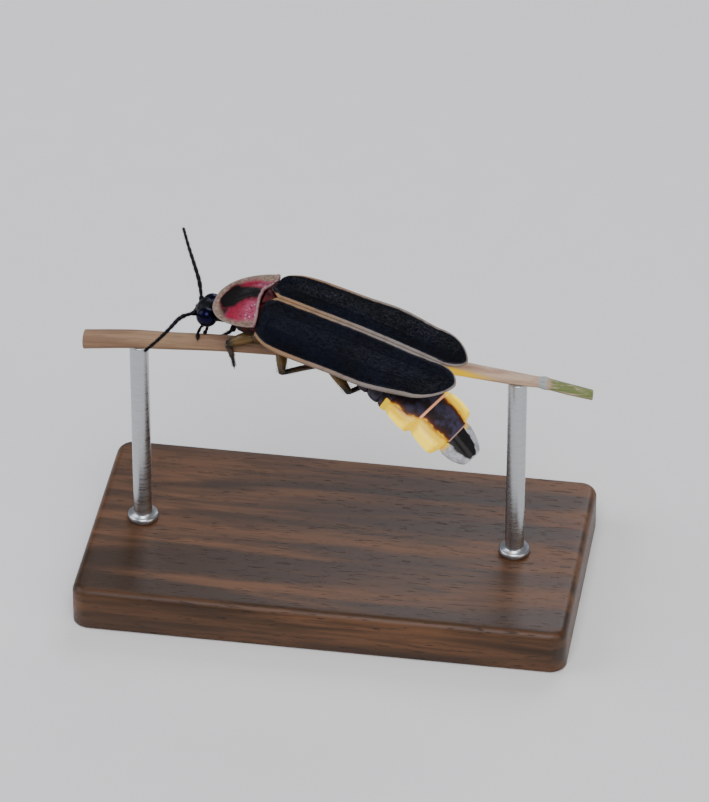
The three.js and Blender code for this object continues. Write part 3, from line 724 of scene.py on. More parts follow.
def lantern_tissue(colours, strength):
    """Light organ behind clear chitin, lit from within: pale yellow where it is deep, amber and then
    orange where it thins out beside the dark back plate and at the ring's ends. The attribute depth
    is the distance in millimetres to them."""
    material, node, own, depth = begin("glowing_lantern_tissue", "depth")
    clump = node("TexNoise", {"Vector": own, "Scale": 1 / 0.22, "Detail": 4.0})
    grains = node("TexVoronoi", {"Vector": own, "Scale": 1 / 0.08})
    mottled = node("Math", [depth, node("MapRange", [clump, 0.2, 0.8, -0.08, 0.08], **LINEAR)])
    glow = node("ValToRGB", [mottled], stops=[
        (0.0, colours.glow_orange), (0.1, colours.glow_amber), (0.24, colours.glow_yellow),
        (0.42, colours.glow_yellow), (0.7, colours.glow_pale),
    ])
    return finish(material, node, {
        "Base Color": colours.lantern_skin,
        "Roughness": 0.36,
        "IOR": 1.45,
        "Emission Color": glow,
        "Emission Strength": strength,
    }, relief=((clump, 0.012), (grains, 0.006)))


def back_plate_cuticle(colours, strength):
    """Dark smoky chitin plates, violet brown and dull, whose thin edges let the lantern's light
    through. The attribute edge is the distance in millimetres to the plate's lit side, and seam to
    the skin behind it, which glows where the attribute lit is 1."""
    material, node, own, edge, seam, lit = begin("smoky_back_plate_cuticle", "edge", "seam", "lit")
    blotch = node("TexNoise", {"Vector": own, "Scale": 1 / 0.5, "Detail": 4.0})
    fine = node("TexNoise", {"Vector": own, "Scale": 1 / 0.09, "Detail": 5.0})
    violet = node("MapRange", [blotch, 0.4, 0.62])
    plate = node("Mix", [violet, colours.plate_brown, colours.plate_violet])
    ragged = node("Math", [edge, node("MapRange", [blotch, 0.2, 0.8, -0.12, 0.12], **LINEAR)])
    ruddy = node("MapRange", [ragged, 0.42, 0.1])
    plate = node("Mix", [ruddy, plate, colours.plate_edge])
    fringe = node("MapRange", [ragged, 0.14, 0.0])
    core = node("MapRange", [ragged, 0.05, -0.06])
    membrane = node("MapRange", [seam, 0.15, 0.09])
    colour = node("Mix", [membrane, plate, colours.plate_skin])
    lit_skin = node("Math", [membrane, lit], operation="MULTIPLY")
    glow = node("Mix", [fringe, DARK, colours.glow_orange])
    glow = node("Mix", [core, glow, colours.glow_yellow])
    glow = node("Mix", [lit_skin, glow, colours.glow_skin])
    return finish(material, node, {
        "Base Color": colour,
        "Roughness": node("MapRange", [fine, 0.3, 0.7, 0.36, 0.52]),
        "IOR": 1.54,
        "Emission Color": glow,
        "Emission Strength": strength,
        "Specular IOR Level": 0.25,
        "Sheen Weight": 0.04,
        "Sheen Tint": linear("#8f90c8"),
    }, relief=((fine, 0.01), (blotch, 0.04)))


def tail_cuticle(colours, strength):
    """The last ring: a black keeled plate between clear grey margins like thin horn. The attribute
    clear is the distance in millimetres outwards from the black, and lit from the lantern's end."""
    material, node, own, clear, lit = begin("clear_edged_tail_plate", "clear", "lit")
    blotch = node("TexNoise", {"Vector": own, "Scale": 1 / 0.28, "Detail": 4.0})
    fine = node("TexNoise", {"Vector": own, "Scale": 1 / 0.08, "Detail": 5.0})
    ragged = node("Math", [clear, node("MapRange", [blotch, 0.2, 0.8, -0.08, 0.08], **LINEAR)])
    horny = node("MapRange", [ragged, -0.03, 0.07])
    cloudy = node("MapRange", [blotch, 0.35, 0.6])
    margin = node("Mix", [cloudy, colours.tail_grey, colours.tail_white])
    # Painted light: near the lantern's end the clear margin is tinted to the lantern's skin and glows
    # yellow.
    warm = node("MapRange", [lit, 0.34, 0.0])
    warm = node("Math", [warm, horny], operation="MULTIPLY")
    margin = node("Mix", [warm, margin, colours.lantern_skin])
    return finish(material, node, {
        "Base Color": node("Mix", [horny, colours.tail_black, margin]),
        "Roughness": node("MapRange", [fine, 0.3, 0.7, 0.26, 0.4]),
        "Specular IOR Level": 0.3,
        "Coat Weight": 0.1,
        "Coat Roughness": 0.2,
        "Emission Color": node("Mix", [warm, DARK, colours.glow_yellow]),
        "Emission Strength": strength * SPILL,
    }, relief=((fine, 0.012), (blotch, 0.012)))


def dry_straw(colours, strength):
    """A dead grass culm, split-grained and dull, tan towards its base and pinkish straw towards its
    joint, past which the next length is still olive green. Near the lantern its underside is painted
    with the lantern's yellow light, as a warm tint and a glow, by the attribute lit."""
    material, node, own, lit = begin("dry_grass_straw", "lit")
    x = node("SeparateXYZ", [own])
    drawn_fine = node("Mapping", {"Vector": own, "Scale": (0.05, 1, 1)})
    drawn_broad = node("Mapping", {"Vector": own, "Scale": (0.06, 1, 1)})
    streak = node("TexNoise", {"Vector": drawn_fine, "Scale": 1 / 0.11, "Detail": 6.0, "Roughness": 0.6})
    broad = node("TexNoise", {"Vector": drawn_broad, "Scale": 1 / 0.4, "Detail": 4.0})
    by_broad = node("MapRange", [broad, 0.38, 0.62])
    tan = node("Mix", [by_broad, colours.straw_tan, colours.straw_red])
    pink = node("Mix", [by_broad, colours.straw_pink, colours.straw_pale])
    colour = node("Mix", [node("MapRange", [x, -3.0, 5.0]), tan, pink])
    by_streak = node("MapRange", [streak, 0.48, 0.68])
    green = node("Mix", [by_streak, colours.straw_green, colours.straw_pale])
    colour = node("Mix", [node("MapRange", [x, 10.9, 11.3]), colour, green])
    rising = node("MapRange", [x, 10.45, 10.65])
    falling = node("MapRange", [x, 11.0, 10.85])
    knot = node("Math", [rising, falling], operation="MULTIPLY")
    colour = node("Mix", [knot, colour, colours.straw_knot])
    cracks = node("MapRange", [streak, 0.44, 0.32, 0.0, 0.55])
    colour = node("Mix", [cracks, colour, colours.straw_dark])
    # Painted light: near the lantern the stem's underside is tinted to the lantern's skin and glows yellow.
    colour = node("Mix", [lit, colour, colours.lantern_skin])
    return finish(material, node, {
        "Base Color": colour,
        "Roughness": node("MapRange", [streak, 0.3, 0.7, 0.5, 0.7]),
        "Specular IOR Level": 0.35,
        "Emission Color": node("Mix", [lit, DARK, colours.glow_yellow]),
        "Emission Strength": strength * SPILL,
    }, relief=((streak, 0.015), (broad, 0.03)))


def oiled_walnut(colours):
    """Fine-sanded walnut under an oil finish: long dark growth lines, short open pores and a low
    lustre. The figure is drawn small, as on a block cut for a base of this size."""
    material, node, own = begin("oiled_walnut")
    drawn = node("Mapping", {"Vector": own, "Scale": (0.09, 1, 1.5)})
    drawn_pores = node("Mapping", {"Vector": own, "Scale": (0.1, 1, 1)})
    bands = node("TexNoise", {"Vector": drawn, "Scale": 1 / 1.5, "Detail": 5.0, "Distortion": 0.4})
    lines = node("TexNoise", {"Vector": drawn, "Scale": 1 / 0.3, "Detail": 3.0})
    pores = node("TexNoise", {"Vector": drawn_pores, "Scale": 1 / 0.09})
    light = node("MapRange", [bands, 0.36, 0.64])
    colour = node("Mix", [light, colours.walnut_dark, colours.walnut_light])
    lined = node("MapRange", [lines, 0.5, 0.66, 0.0, 0.5])
    colour = node("Mix", [lined, colour, colours.walnut_dark])
    open_pore = node("MapRange", [pores, 0.62, 0.72, 0.0, 0.8])
    colour = node("Mix", [open_pore, colour, colours.walnut_pore])
    return finish(material, node, {
        "Base Color": colour,
        "Roughness": node("MapRange", [bands, 0.3, 0.7, 0.4, 0.52]),
        "Normal": node("Bump", {"Height": open_pore, "Distance": 0.02 * MM}, invert=True),
        "Specular IOR Level": 0.3,
        "Coat Weight": 0.04,
        "Coat Roughness": 0.35,
    })


def turned_steel(colours):
    """Stainless rod, fine turned: its close rings break up the highlight and draw it out along the rod."""
    material, node, own = begin("turned_stainless_steel")
    across = node("Mapping", {"Vector": own, "Scale": (0.03, 0.03, 1)})
    rings = node("TexNoise", {"Vector": across, "Scale": 1 / 0.09})
    return finish(material, node, {
        "Base Color": node("Mix", [rings, colours.steel_dark, colours.steel_light]),
        "Metallic": 1.0,
        "Roughness": node("MapRange", [rings, 0.3, 0.7, 0.24, 0.36]),
    }, relief=((rings, 0.0006),))


def chitin_hair(name, hex_colour):
    """Chitin bristle: thin, dull and uneven in tone. All coats of hair of one name share it."""
    if name in bpy.data.materials:
        return bpy.data.materials[name]
    material, node, own = begin(name)
    tone = node("TexNoise", {"Vector": own, "Scale": 1 / 0.6})
    colour = linear(hex_colour)
    return finish(material, node, {
        "Base Color": node("Mix", [tone, colour, tuple(c * 0.5 for c in colour)]),
        "Roughness": 0.6,
        "IOR": 1.54,
        "Specular IOR Level": 0.1,
    })


def pale_card(colours):
    """Matt off-white card for the studio floor, with a very faint fibre."""
    material, node, _ = begin("matt_pale_card")
    place = node("TexCoord").outputs["Object"]
    fibre = node("TexNoise", {"Vector": place, "Scale": 1 / (2.5 * MM), "Detail": 4.0})
    return finish(material, node, {
        "Base Color": node("Mix", [fibre, colours.card, tuple(c * 0.96 for c in colours.card)]),
        "Roughness": 0.85,
    })


# Shapes of the animal


def row_across(x, y, z):
    """Points of one row at x, from their places sideways and their heights."""
    return np.stack([np.full(len(y), x), y, z], -1)


def outer_edge(x):
    """How far from the middle the wing cases' outer margins lie at x."""
    e = ELYTRON
    if x < e["round_x"]:
        return along(e["half_width"], x)
    start = along(e["half_width"], e["round_x"])
    s = min((x - e["round_x"]) / (e["tip_x"] - e["round_x"]), 1)
    return e["tip_y"] + (start - e["tip_y"]) * (1 - s * s) ** e["tip_power"]


def inner_edge(x):
    """How far from the middle their inner margins lie, which part round the scutellum and at the tips."""
    e, seam = ELYTRON, ELYTRON["seam"]
    if x < e["seam_x"]:
        parted = (e["seam_x"] - x) / (e["seam_x"] - SCUTELLUM["front_x"])
        return seam + parted * (SCUTELLUM["half_width"] + seam)
    if x < e["part_x"]:
        return seam
    t = min((x - e["part_x"]) / (e["tip_x"] - e["part_x"]), 1)
    return seam + (e["tip_y"] - seam) * (1 - math.sqrt(1 - t * t))


def elytron_height(x, y):
    """Height of the closed wing cases' upper side."""
    shoulder = ELYTRON["shoulder"]
    reach = np.minimum(np.abs(y) / (0.93 * outer_edge(x)), 1)
    lift = ELYTRON["tip_lift"] * smooth_step(ELYTRON["lift_x"], ELYTRON["tip_x"], x)
    knob = bell(x, shoulder["x"], shoulder["long"]) * bell(np.abs(y), shoulder["y"], shoulder["wide"])
    arch = along(ELYTRON["arch"], x) * (1 - reach ** ELYTRON["arch_power"])
    return arch + lift + shoulder["height"] * knob


def distance_to_edge(points, edge):
    """Each point's distance in plan to one of a wing case's two margins."""
    e = ELYTRON
    share = np.linspace(0, 1, 700)
    xs = e["base_x"] + (e["tip_x"] - e["base_x"]) * np.sin(math.pi / 2 * share)
    margin = np.array([(x, edge(x)) for x in xs])
    return np.array([np.linalg.norm(margin[None] - row[:, None], axis=-1).min(1) for row in points])


def wing_case_rows(side, rows, columns):
    """Upper points of a wing case, with each point's distances to its inner and outer margins."""
    e = ELYTRON
    shares = 0.5 - 0.5 * np.cos(np.linspace(0, math.pi, columns))
    steps = np.linspace(0, 1, rows)
    steps = 0.3 * steps + 0.35 * (1 - np.cos(math.pi * steps))
    xs = e["base_x"] + (e["tip_x"] - SHORT - e["base_x"]) * steps
    across = [inner_edge(x) + (outer_edge(x) - inner_edge(x)) * shares for x in xs]
    plan = np.array([np.stack([np.full(columns, x), y], -1) for x, y in zip(xs, across)])
    to_inner, to_outer = (distance_to_edge(plan, edge) for edge in (inner_edge, outer_edge))
    upper = []
    for x, row, near in zip(xs, plan, np.minimum(to_inner, to_outer)):
        y = row[:, 1]
        fade = smooth_step(0.2, 1.2, x) * (1 - smooth_step(7.5, 9, x))
        ribs = sum(bell(shares, at, e["rib_width"]) for at in e["ribs"])
        turned = min(max((e["base_x"] + e["rolled_long"] - x) / e["rolled_long"], 0), 1)
        rolled = e["rolled_deep"] * (1 - math.sqrt(1 - turned ** 2))
        rim = e["rim_height"] * bell(near, 0.09, 0.08)
        z = elytron_height(x, y) + rim + e["rib_height"] * ribs * fade - rolled
        upper.append(row_across(x, side * y, z))
    return np.array(upper), to_inner, to_outer


def wing_case(side, sizes):
    """A wing case with its rolled outer lip, its attributes, and its upper points with their distance to
    the nearest margin. The attributes are that distance and the pale margin's width."""
    upper, to_inner, to_outer = wing_case_rows(side, 150, 60)
    edge = np.minimum(to_inner, to_outer)
    x = upper[..., 0]
    toward_tip = 1 - 0.55 * smooth_step(7.5, 10, x)
    seam_rim = sizes.seam_rim / MM * smooth_step(-0.2, 0.15, x) * toward_tip
    side_rim = sizes.side_rim / MM * (0.45 + 0.55 * smooth_step(-0.3, 1.6, x)) * toward_tip
    rim = np.where(to_inner < to_outer, seam_rim, side_rim)
    lip = ELYTRON["lip"] * (1 - smooth_step(8.0, 9.8, x)) * (1 - smooth_step(0.05, 0.17, to_outer))
    thick = sizes.elytron_thickness / MM * (0.5 + 0.5 * smooth_step(0.0, 0.12, edge)) + lip
    lower = upper - UP * thick[..., None]
    outwards = side * RIGHT
    wall = [upper[:, -1:] + outwards * 0.02 - UP * 0.04, lower[:, -1:] + outwards * 0.01 + UP * 0.03]
    rings = np.concatenate([upper, *wall, lower[:, ::-1]], axis=1)
    at_wall = np.zeros((len(upper), 2))
    attributes = {
        "edge": np.concatenate([edge, at_wall, edge[:, ::-1]], 1),
        "rim": np.concatenate([rim, at_wall + sizes.side_rim / MM, rim[:, ::-1]], 1),
    }
    return skin(rings, strip=True), attributes, upper, edge


def saddle_rows(columns=61):
    """Upper points of the middle back, which shows between the shield and the wing cases."""
    m = MIDDLE_BACK
    rows = []
    for x in np.linspace(m["front_x"], m["rear_x"], 40):
        under = max(x, ELYTRON["base_x"])
        half = outer_edge(under) * m["width"]
        y = np.linspace(-half, half, columns)
        groove = 0.05 * bell(y, 0, 0.1)
        dip = m["dip"] * (smooth_step(m["front_x"], ELYTRON["base_x"], x) - 1)
        z = elytron_height(under, y) - m["below"] - groove + dip
        rows.append(row_across(x, y, z))
    return np.array(rows)


def scutellum_rows(columns=21):
    """Upper points of the small plate between the wing cases' roots, tucked under the shield."""
    s = SCUTELLUM
    rows = []
    for share in np.linspace(0, 1, 24):
        x = s["front_x"] - s["tucked"] + (s["tucked"] - s["front_x"]) * share
        half = s["half_width"] * (1 - share) + 0.04
        y = np.linspace(-half, half, columns)
        z = elytron_height(x, y) - 0.05 - 0.06 * (y / half) ** 2
        rows.append(row_across(x, y, z))
    return np.array(rows)


def shield_rows(rows, columns):
    """Upper points of the shield over the prothorax, with the distance to its outer margin."""
    p, to_front, to_side = PRONOTUM, PRONOTUM["long_power"], PRONOTUM["wide_power"]
    shares = np.sin(np.linspace(-math.pi / 2, math.pi / 2, columns))
    upper, edge = [], []
    for k in range(rows):
        x = -(p["length"] - SHORT) * math.cos(math.pi / 2 * k / (rows - 1))
        y = p["half_width"] * (1 - (-x / p["length"]) ** to_front) ** (1 / to_side) * shares
        out = (np.abs(x / p["length"]) ** to_front + np.abs(y / p["half_width"]) ** to_side) ** (1 / 2.25)
        dome = p["hump"] * (1 - smooth_step(0, 0.84, out)) + 0.07 * smooth_step(0.86, 1, out)
        swelling = 0.09 * bell(x, -0.95, 0.6) * bell(np.abs(y), 0.85, 0.45)
        groove = 0.05 * bell(y, 0, 0.09) * smooth_step(-2.4, -0.6, x)
        ridge = 0.06 * bell(x, -0.1, 0.07)
        upper.append(row_across(x, y, dome + swelling - groove + ridge))
        edge.append((1 - out) * p["half_width"])
    return np.array(upper), np.array(edge)


def shield_regions(upper):
    """Distances in millimetres to the black spot and to the red patches, less than 0 inside them."""
    x, y = upper[..., 0], upper[..., 1]
    half, lean, outer = (np.array([along(stations, v) for v in x[:, 0]])[:, None]
                         for stations in (SPOT["half_width"], SPOT["lean"], PATCH["outer"]))
    spot = np.abs(y - lean) - half + np.maximum(SPOT["half_width"][0][0] + 0.06 - x, 0)
    patch = np.maximum.reduce([np.abs(y) - outer, PATCH["front"] - x, x - PATCH["rear"]])
    return spot, patch


def block_along_x(stations, count=40, power=2.4):
    """A rounded block through stations of (x, half width, top, bottom)."""
    return skin([oval((x, 0, (top + bottom) / 2), RIGHT, UP, half, (top - bottom) / 2, count, power)
                 for x, half, top, bottom in stations])


def back_line():
    """A function that gives the abdomen's frame at a distance along its back: place, across, up."""
    line = rounded(ABDOMEN["back"], 400)
    reach = reach_along(line)
    ahead = unit(np.gradient(line, axis=0))

    def frame_there(distance):
        there = min(max(distance, 0), reach[-1])
        at, d = (np.array([np.interp(there, reach, of[:, k]) for k in range(3)]) for of in (line, ahead))
        d = unit(d)
        across = unit(RIGHT - np.dot(RIGHT, d) * d)
        a = math.radians(ABDOMEN["roll"] * there / reach[-1])
        across = across * math.cos(a) + np.cross(d, across) * math.sin(a)
        return at, across, np.cross(d, across)

    return frame_there


def ring_half_width(i, share):
    """Half the width of ring i at a share of its length."""
    return ABDOMEN["widths"][i] / 2 * along(ABDOMEN["swell"], share)


def ring_rows(i, start, end, frame_there, count=64):
    """One ring of the abdomen, whose ends turn in. Also each point's place sideways and downwards
    from the back line."""
    rings, sideways, downwards = [], [], []
    tall = ABDOMEN["heights"][i] / 2
    for share in RING_SHARES:
        top, across, up = frame_there(start + (end - start) * share)
        inset = 1.0
        if share < 0.06:
            inset = 0.86 + 0.14 * math.sqrt(share / 0.06)
        if share > 0.94:
            inset = 0.8 + 0.2 * math.sqrt((1 - share) / 0.06)
        wide = ring_half_width(i, share) * inset
        ring = oval(top - up * tall, across, up, wide, tall * inset, count, RING_POWER)
        rings.append(ring)
        sideways.append((ring - top) @ across)
        downwards.append((top - ring) @ up)
    return np.array(rings), np.array(sideways), np.array(downwards)


def plate_half_width(i, share):
    """Half the width of the back plate over ring i."""
    plate = i - ABDOMEN["first_lit"]
    return BACK_PLATE["half_widths"][plate] * (1 - BACK_PLATE["tapers"][plate] * smooth_step(0.6, 1, share))


def drop_at(i, sideways, share):
    """How far a ring's back falls away at a distance sideways from its middle."""
    tall = ABDOMEN["heights"][i] / 2
    reach = np.minimum(np.abs(sideways) / ring_half_width(i, share), 1)
    return tall - tall * (1 - reach ** RING_POWER) ** (1 / RING_POWER)


def lantern_depth(i, sideways, downwards, long):
    """Distance in millimetres of each point of a lit ring from its back plate and from its ends."""
    depth = np.empty_like(sideways)
    for k, share in enumerate(RING_SHARES):
        half = plate_half_width(i, share)
        below = np.maximum(downwards[k] - drop_at(i, half, share), 0)
        from_plate = np.abs(sideways[k]) - half + below * 0.8
        from_end = 0.14 + 1.3 * long * min(share, 1 - share)
        depth[k] = np.clip(np.minimum(from_plate, from_end), 0, 1)
    return depth


def back_plate_rows(i, start, end, frame_there):
    """Upper points of a back plate, each one's distance to the plate's sides and to its rear edge, and
    which way is up there."""
    b, columns = BACK_PLATE, BACK_PLATE["columns"]
    upper, sides, rears, ups = [], [], [], []
    for share in np.linspace(0, 1, 34):
        top, across, up = frame_there(start + (end - start) * share)
        half = plate_half_width(i, share)
        y = np.linspace(-half, half, columns)
        z = b["raised"] + b["rise"] * share - drop_at(i, y, share)
        upper.append(top + y[:, None] * across + z[:, None] * up)
        sides.append(half - np.abs(y))
        rears.append(np.full(columns, (1 - share) * (end - start)))
        ups.append(np.broadcast_to(up, (columns, 3)))
    return np.array(upper), np.array(sides), np.array(rears), np.array(ups)


def tail_rows(start, end, frame_there):
    """The last ring, a rounded plate with a keel, and each point's distance out from its black middle
    and from the lantern's end."""
    i, long = ABDOMEN["tip"], end - start
    rings, clear, lit = [], [], []
    for share in 1 - (1 - np.linspace(0, 0.998, 44)) ** 1.6:
        top, across, up = frame_there(start + long * share)
        curve = (1 - share ** 2.2) ** 0.55
        half = ABDOMEN["widths"][i] / 2 * curve * (0.92 + 0.06 * smooth_step(0, 0.2, share))
        middle = ABDOMEN["heights"][i] / 2 * (0.35 + 0.65 * curve)
        tall = middle * min(1, curve * 3)
        ring = oval(top - up * middle, across, up, half, tall, TAIL["columns"], 2.2)
        side, height = (ring - top) @ across, (ring - top) @ up
        from_keel = side + TAIL["lean"]
        keel = 0.07 * curve * bell(from_keel, 0, 0.13) + 0.03 * bell(np.abs(from_keel), 0.42, 0.1) * curve
        rings.append(ring + np.outer(keel * (height > -middle), up))
        rounding = math.sqrt(max(1 - (share / TAIL["black_end"]) ** 3, 0))
        black_half = TAIL["black"] * (1 - 0.2 * share) * rounding
        out = np.maximum(np.abs(from_keel) - black_half, (share - 0.8) * long)
        clear.append(np.where(height > -middle, out, np.maximum(out, 0.0)))
        lit.append(np.full(TAIL["columns"], share * long))
    return np.array(rings), np.array(clear), np.array(lit)


# Sizes and colours that a user would change


COLOURS = {
    "elytron_black": ("#040509", "Darkest tone of the wing cases"),
    "elytron_blue": ("#070b1a", "Blue cast of the wing cases"),
    "rim_front": ("#8c6d4f", "Pale margins near the shield"),
    "rim_rear": ("#80766f", "Pale margins near the tips"),
    "rim_shade": ("#63534a", "Darker tone of the pale margins"),
    "horn_shade": ("#705c51", "Darker tone of the shield's horny rim"),
    "horn_pale": ("#98826f", "Paler tone of the shield's horny rim"),
    "horn_edge": ("#85746a", "Tone of the shield's thin edge"),
    # Darker red brown towards the shield's front, inside its rim.
    "front_stain": ("#321414", "Red brown stain inside the shield's front rim"),
    "crimson": ("#961a36", "Crimson of the shield's patches"),
    "crimson_deep": ("#5e1020", "Darkest red of the shield"),
    "rose": ("#9c3a55", "Rose towards the rear of the patches"),
    # Painted highlights: lilac specks that stand for glints near the red patches' rear.
    "wet_lilac": ("#c39cc2", "Lilac beads near the patches' rear"),
    "rear_ridge": ("#967274", "Pale ridge along the shield's rear"),
    "shield_black": ("#080405", "Black spot in the middle of the shield"),
    "back_red": ("#4a1216", "Brighter red of the scutellum and middle back"),
    "back_dark": ("#200608", "Darker red of the scutellum and middle back"),
    "body_black": ("#060609", "Black of the head and feelers"),
    "body_sheen": ("#0b0b10", "Lighter black of the head and feelers"),
    "body_brown": ("#2b1d15", "Brown of the underside"),
    "eye_black": ("#040407", "Black of the eyes"),
    "eye_edge": ("#0a0914", "Edges of the eye's facets"),
    "leg_honey": ("#634a1f", "Honey brown of the femora"),
    "leg_brown": ("#45301a", "Brown of the tibiae"),
    "leg_dark": ("#0c0907", "Nearly black knees and feet"),
    "lantern_skin": ("#8a5c08", "Clear skin of the lantern in daylight"),
    "glow_orange": ("#6e3400", "Light at the lantern's thin edge"),
    "glow_amber": ("#9e7b00", "Light inside the thin edge"),
    "glow_yellow": ("#cbab00", "Main light of the lantern"),
    "glow_pale": ("#ffdf30", "Brightest light of the lantern"),
    "glow_skin": ("#a8683a", "Light through the skin between the back plates"),
    "plate_brown": ("#21171a", "Brown of the back plates"),
    "plate_violet": ("#383346", "Violet cast of the back plates"),
    "plate_edge": ("#3c1c10", "Thin edges of the back plates"),
    "plate_skin": ("#b58f80", "Skin behind a back plate"),
    "tail_black": ("#0d0a0d", "Black of the last plate"),
    "tail_grey": ("#8c8c90", "Darker tone of the last plate's margin"),
    "tail_white": ("#b4b4b8", "Paler tone of the last plate's margin"),
    "straw_tan": ("#94775a", "Tan of the stem near its base"),
    "straw_red": ("#7d5e48", "Reddish streaks near the stem's base"),
    "straw_pink": ("#ab8873", "Pinkish straw of the stem near its tip"),
    "straw_pale": ("#c0a78e", "Pale streaks of the stem"),
    "straw_dark": ("#6e5340", "Dark streaks of the stem"),
    "straw_green": ("#68743f", "Olive green past the stem's joint"),
    "straw_knot": ("#9aa3a2", "Grey-blue bloom on the stem's joint"),
    "walnut_dark": ("#33200f", "Dark lines of the base's wood"),
    "walnut_light": ("#65432a", "Light lines of the base's wood"),
    "walnut_pore": ("#21140b", "Pores of the base's wood"),
    "steel_dark": ("#a6a8ab", "Darker tone of the rods"),
    "steel_light": ("#c4c6c8", "Lighter tone of the rods"),
    "card": ("#ebe9e5", "Pale card of the studio floor"),
}


def length_of(name, description, millimetres):
    return bpy.props.FloatProperty(
        name=name, description=description, default=millimetres * MM, min=0.0, unit="LENGTH", precision=5)


def colour_of(key, hex_colour, description):
    return bpy.props.FloatVectorProperty(
        name=key.replace("_", " ").capitalize(), description=description, default=linear(hex_colour),
        subtype="COLOR", size=3, min=0, max=1)


class FireflySizes(bpy.types.PropertyGroup):
    """Fine sizes of the firefly's finished surfaces."""

    elytron_thickness: length_of("Wing case", "Thickness of a wing case away from its margins", 0.17)
    seam_rim: length_of("Pale seam", "Width of the pale line beside the seam of the wing cases", 0.14)
    side_rim: length_of("Pale margin", "Width of the pale outer margin of a wing case", 0.13)
    shield_thickness: length_of("Shield", "Thickness of the shield's flared rim", 0.13)
    antenna_radius: length_of("Antenna radius", "Radius of an antenna near its root", 0.125)
    femur_radius: length_of("Femur radius", "Radius of a femur where it is thickest", 0.32)
    down_length: length_of("Down length", "Length of the down on the wing cases", 0.13)
    down_thickness: length_of("Down thickness", "Radius of a hair of the down at its root", 0.007)
    down_count: bpy.props.IntProperty(
        name="Down hairs", description="Hairs on one wing case", default=9000, min=0, max=15000)
    glow: bpy.props.FloatProperty(
        name="Glow", description="Strength of the lantern's light", default=1.6, min=0.0)


class FireflyColours(bpy.types.PropertyGroup):
    """Colours of the firefly, its stem, its stand and the studio floor."""

    __annotations__ = {key: colour_of(key, *row) for key, row in COLOURS.items()}


def sizes():
    return bpy.context.scene.firefly_sizes


def colours():
    return bpy.context.scene.firefly_colours


def dark_hair():
    return chitin_hair("dark_chitin_hair", "#15141c")


# Operators, one for each piece or group of like pieces


class FIREFLY_OT_wing_cases(bpy.types.Operator):
    """Build both wing cases with their pale margins and down"""

    bl_idname = "firefly.wing_cases"
    bl_label = "Wing Cases"

    def execute(self, context):
        size = sizes()
        material = elytron_cuticle(colours())
        hair = chitin_hair("blue_black_down", "#070912")
        for side, name in SIDES:
            shape, attributes, upper, edge = wing_case(side, size)
            piece(f"wing_case_{name}", shape, material, BODY, [f"elytron_{name}"], attributes)
            rooted = sown(upper, size.down_count, 11 + side, smooth_step(0.12, 0.3, edge))
            setae(f"wing_case_down_{name}", rooted, hair, BODY, length=size.down_length / MM,
                  thick=size.down_thickness / MM, rise=0.2, seed=21 + side)
        return {"FINISHED"}


class FIREFLY_OT_shield(bpy.types.Operator):
    """Build the shield over the prothorax"""

    bl_idname = "firefly.shield"
    bl_label = "Shield"

    def execute(self, context):
        upper, edge = shield_rows(130, 120)
        thick = sizes().shield_thickness / MM * (0.4 + 0.6 * smooth_step(0.0, 0.12, edge))
        spot, patch = shield_regions(upper)
        attributes = {"edge": both_sides(edge), "spot": both_sides(spot), "patch": both_sides(patch)}
        piece("shield", sheet(upper, thick), shield_cuticle(colours()), SHIELD, ["pronotum"],
              attributes)
        hair = chitin_hair("brown_chitin_hair", "#3c2c26")
        setae("shield_down", sown(upper, 1400, 5), hair, SHIELD, length=0.09, thick=0.004,
              rise=0.35, seed=6)
        return {"FINISHED"}


class FIREFLY_OT_middle_back(bpy.types.Operator):
    """Build the small plate between the wing cases' roots and the dark red back in front of it"""

    bl_idname = "firefly.middle_back"
    bl_label = "Middle Back"

    def execute(self, context):
        red = hard_cuticle("dark_red_back_cuticle", colours().back_dark, colours().back_red, 0.3, 0.55)
        plate = sheet(scutellum_rows(), SCUTELLUM["thick"])
        piece("scutellum_plate", plate, red, BODY, ["scutellum"])
        piece("middle_back", sheet(saddle_rows(), MIDDLE_BACK["thick"]), red, BODY)
        return {"FINISHED"}


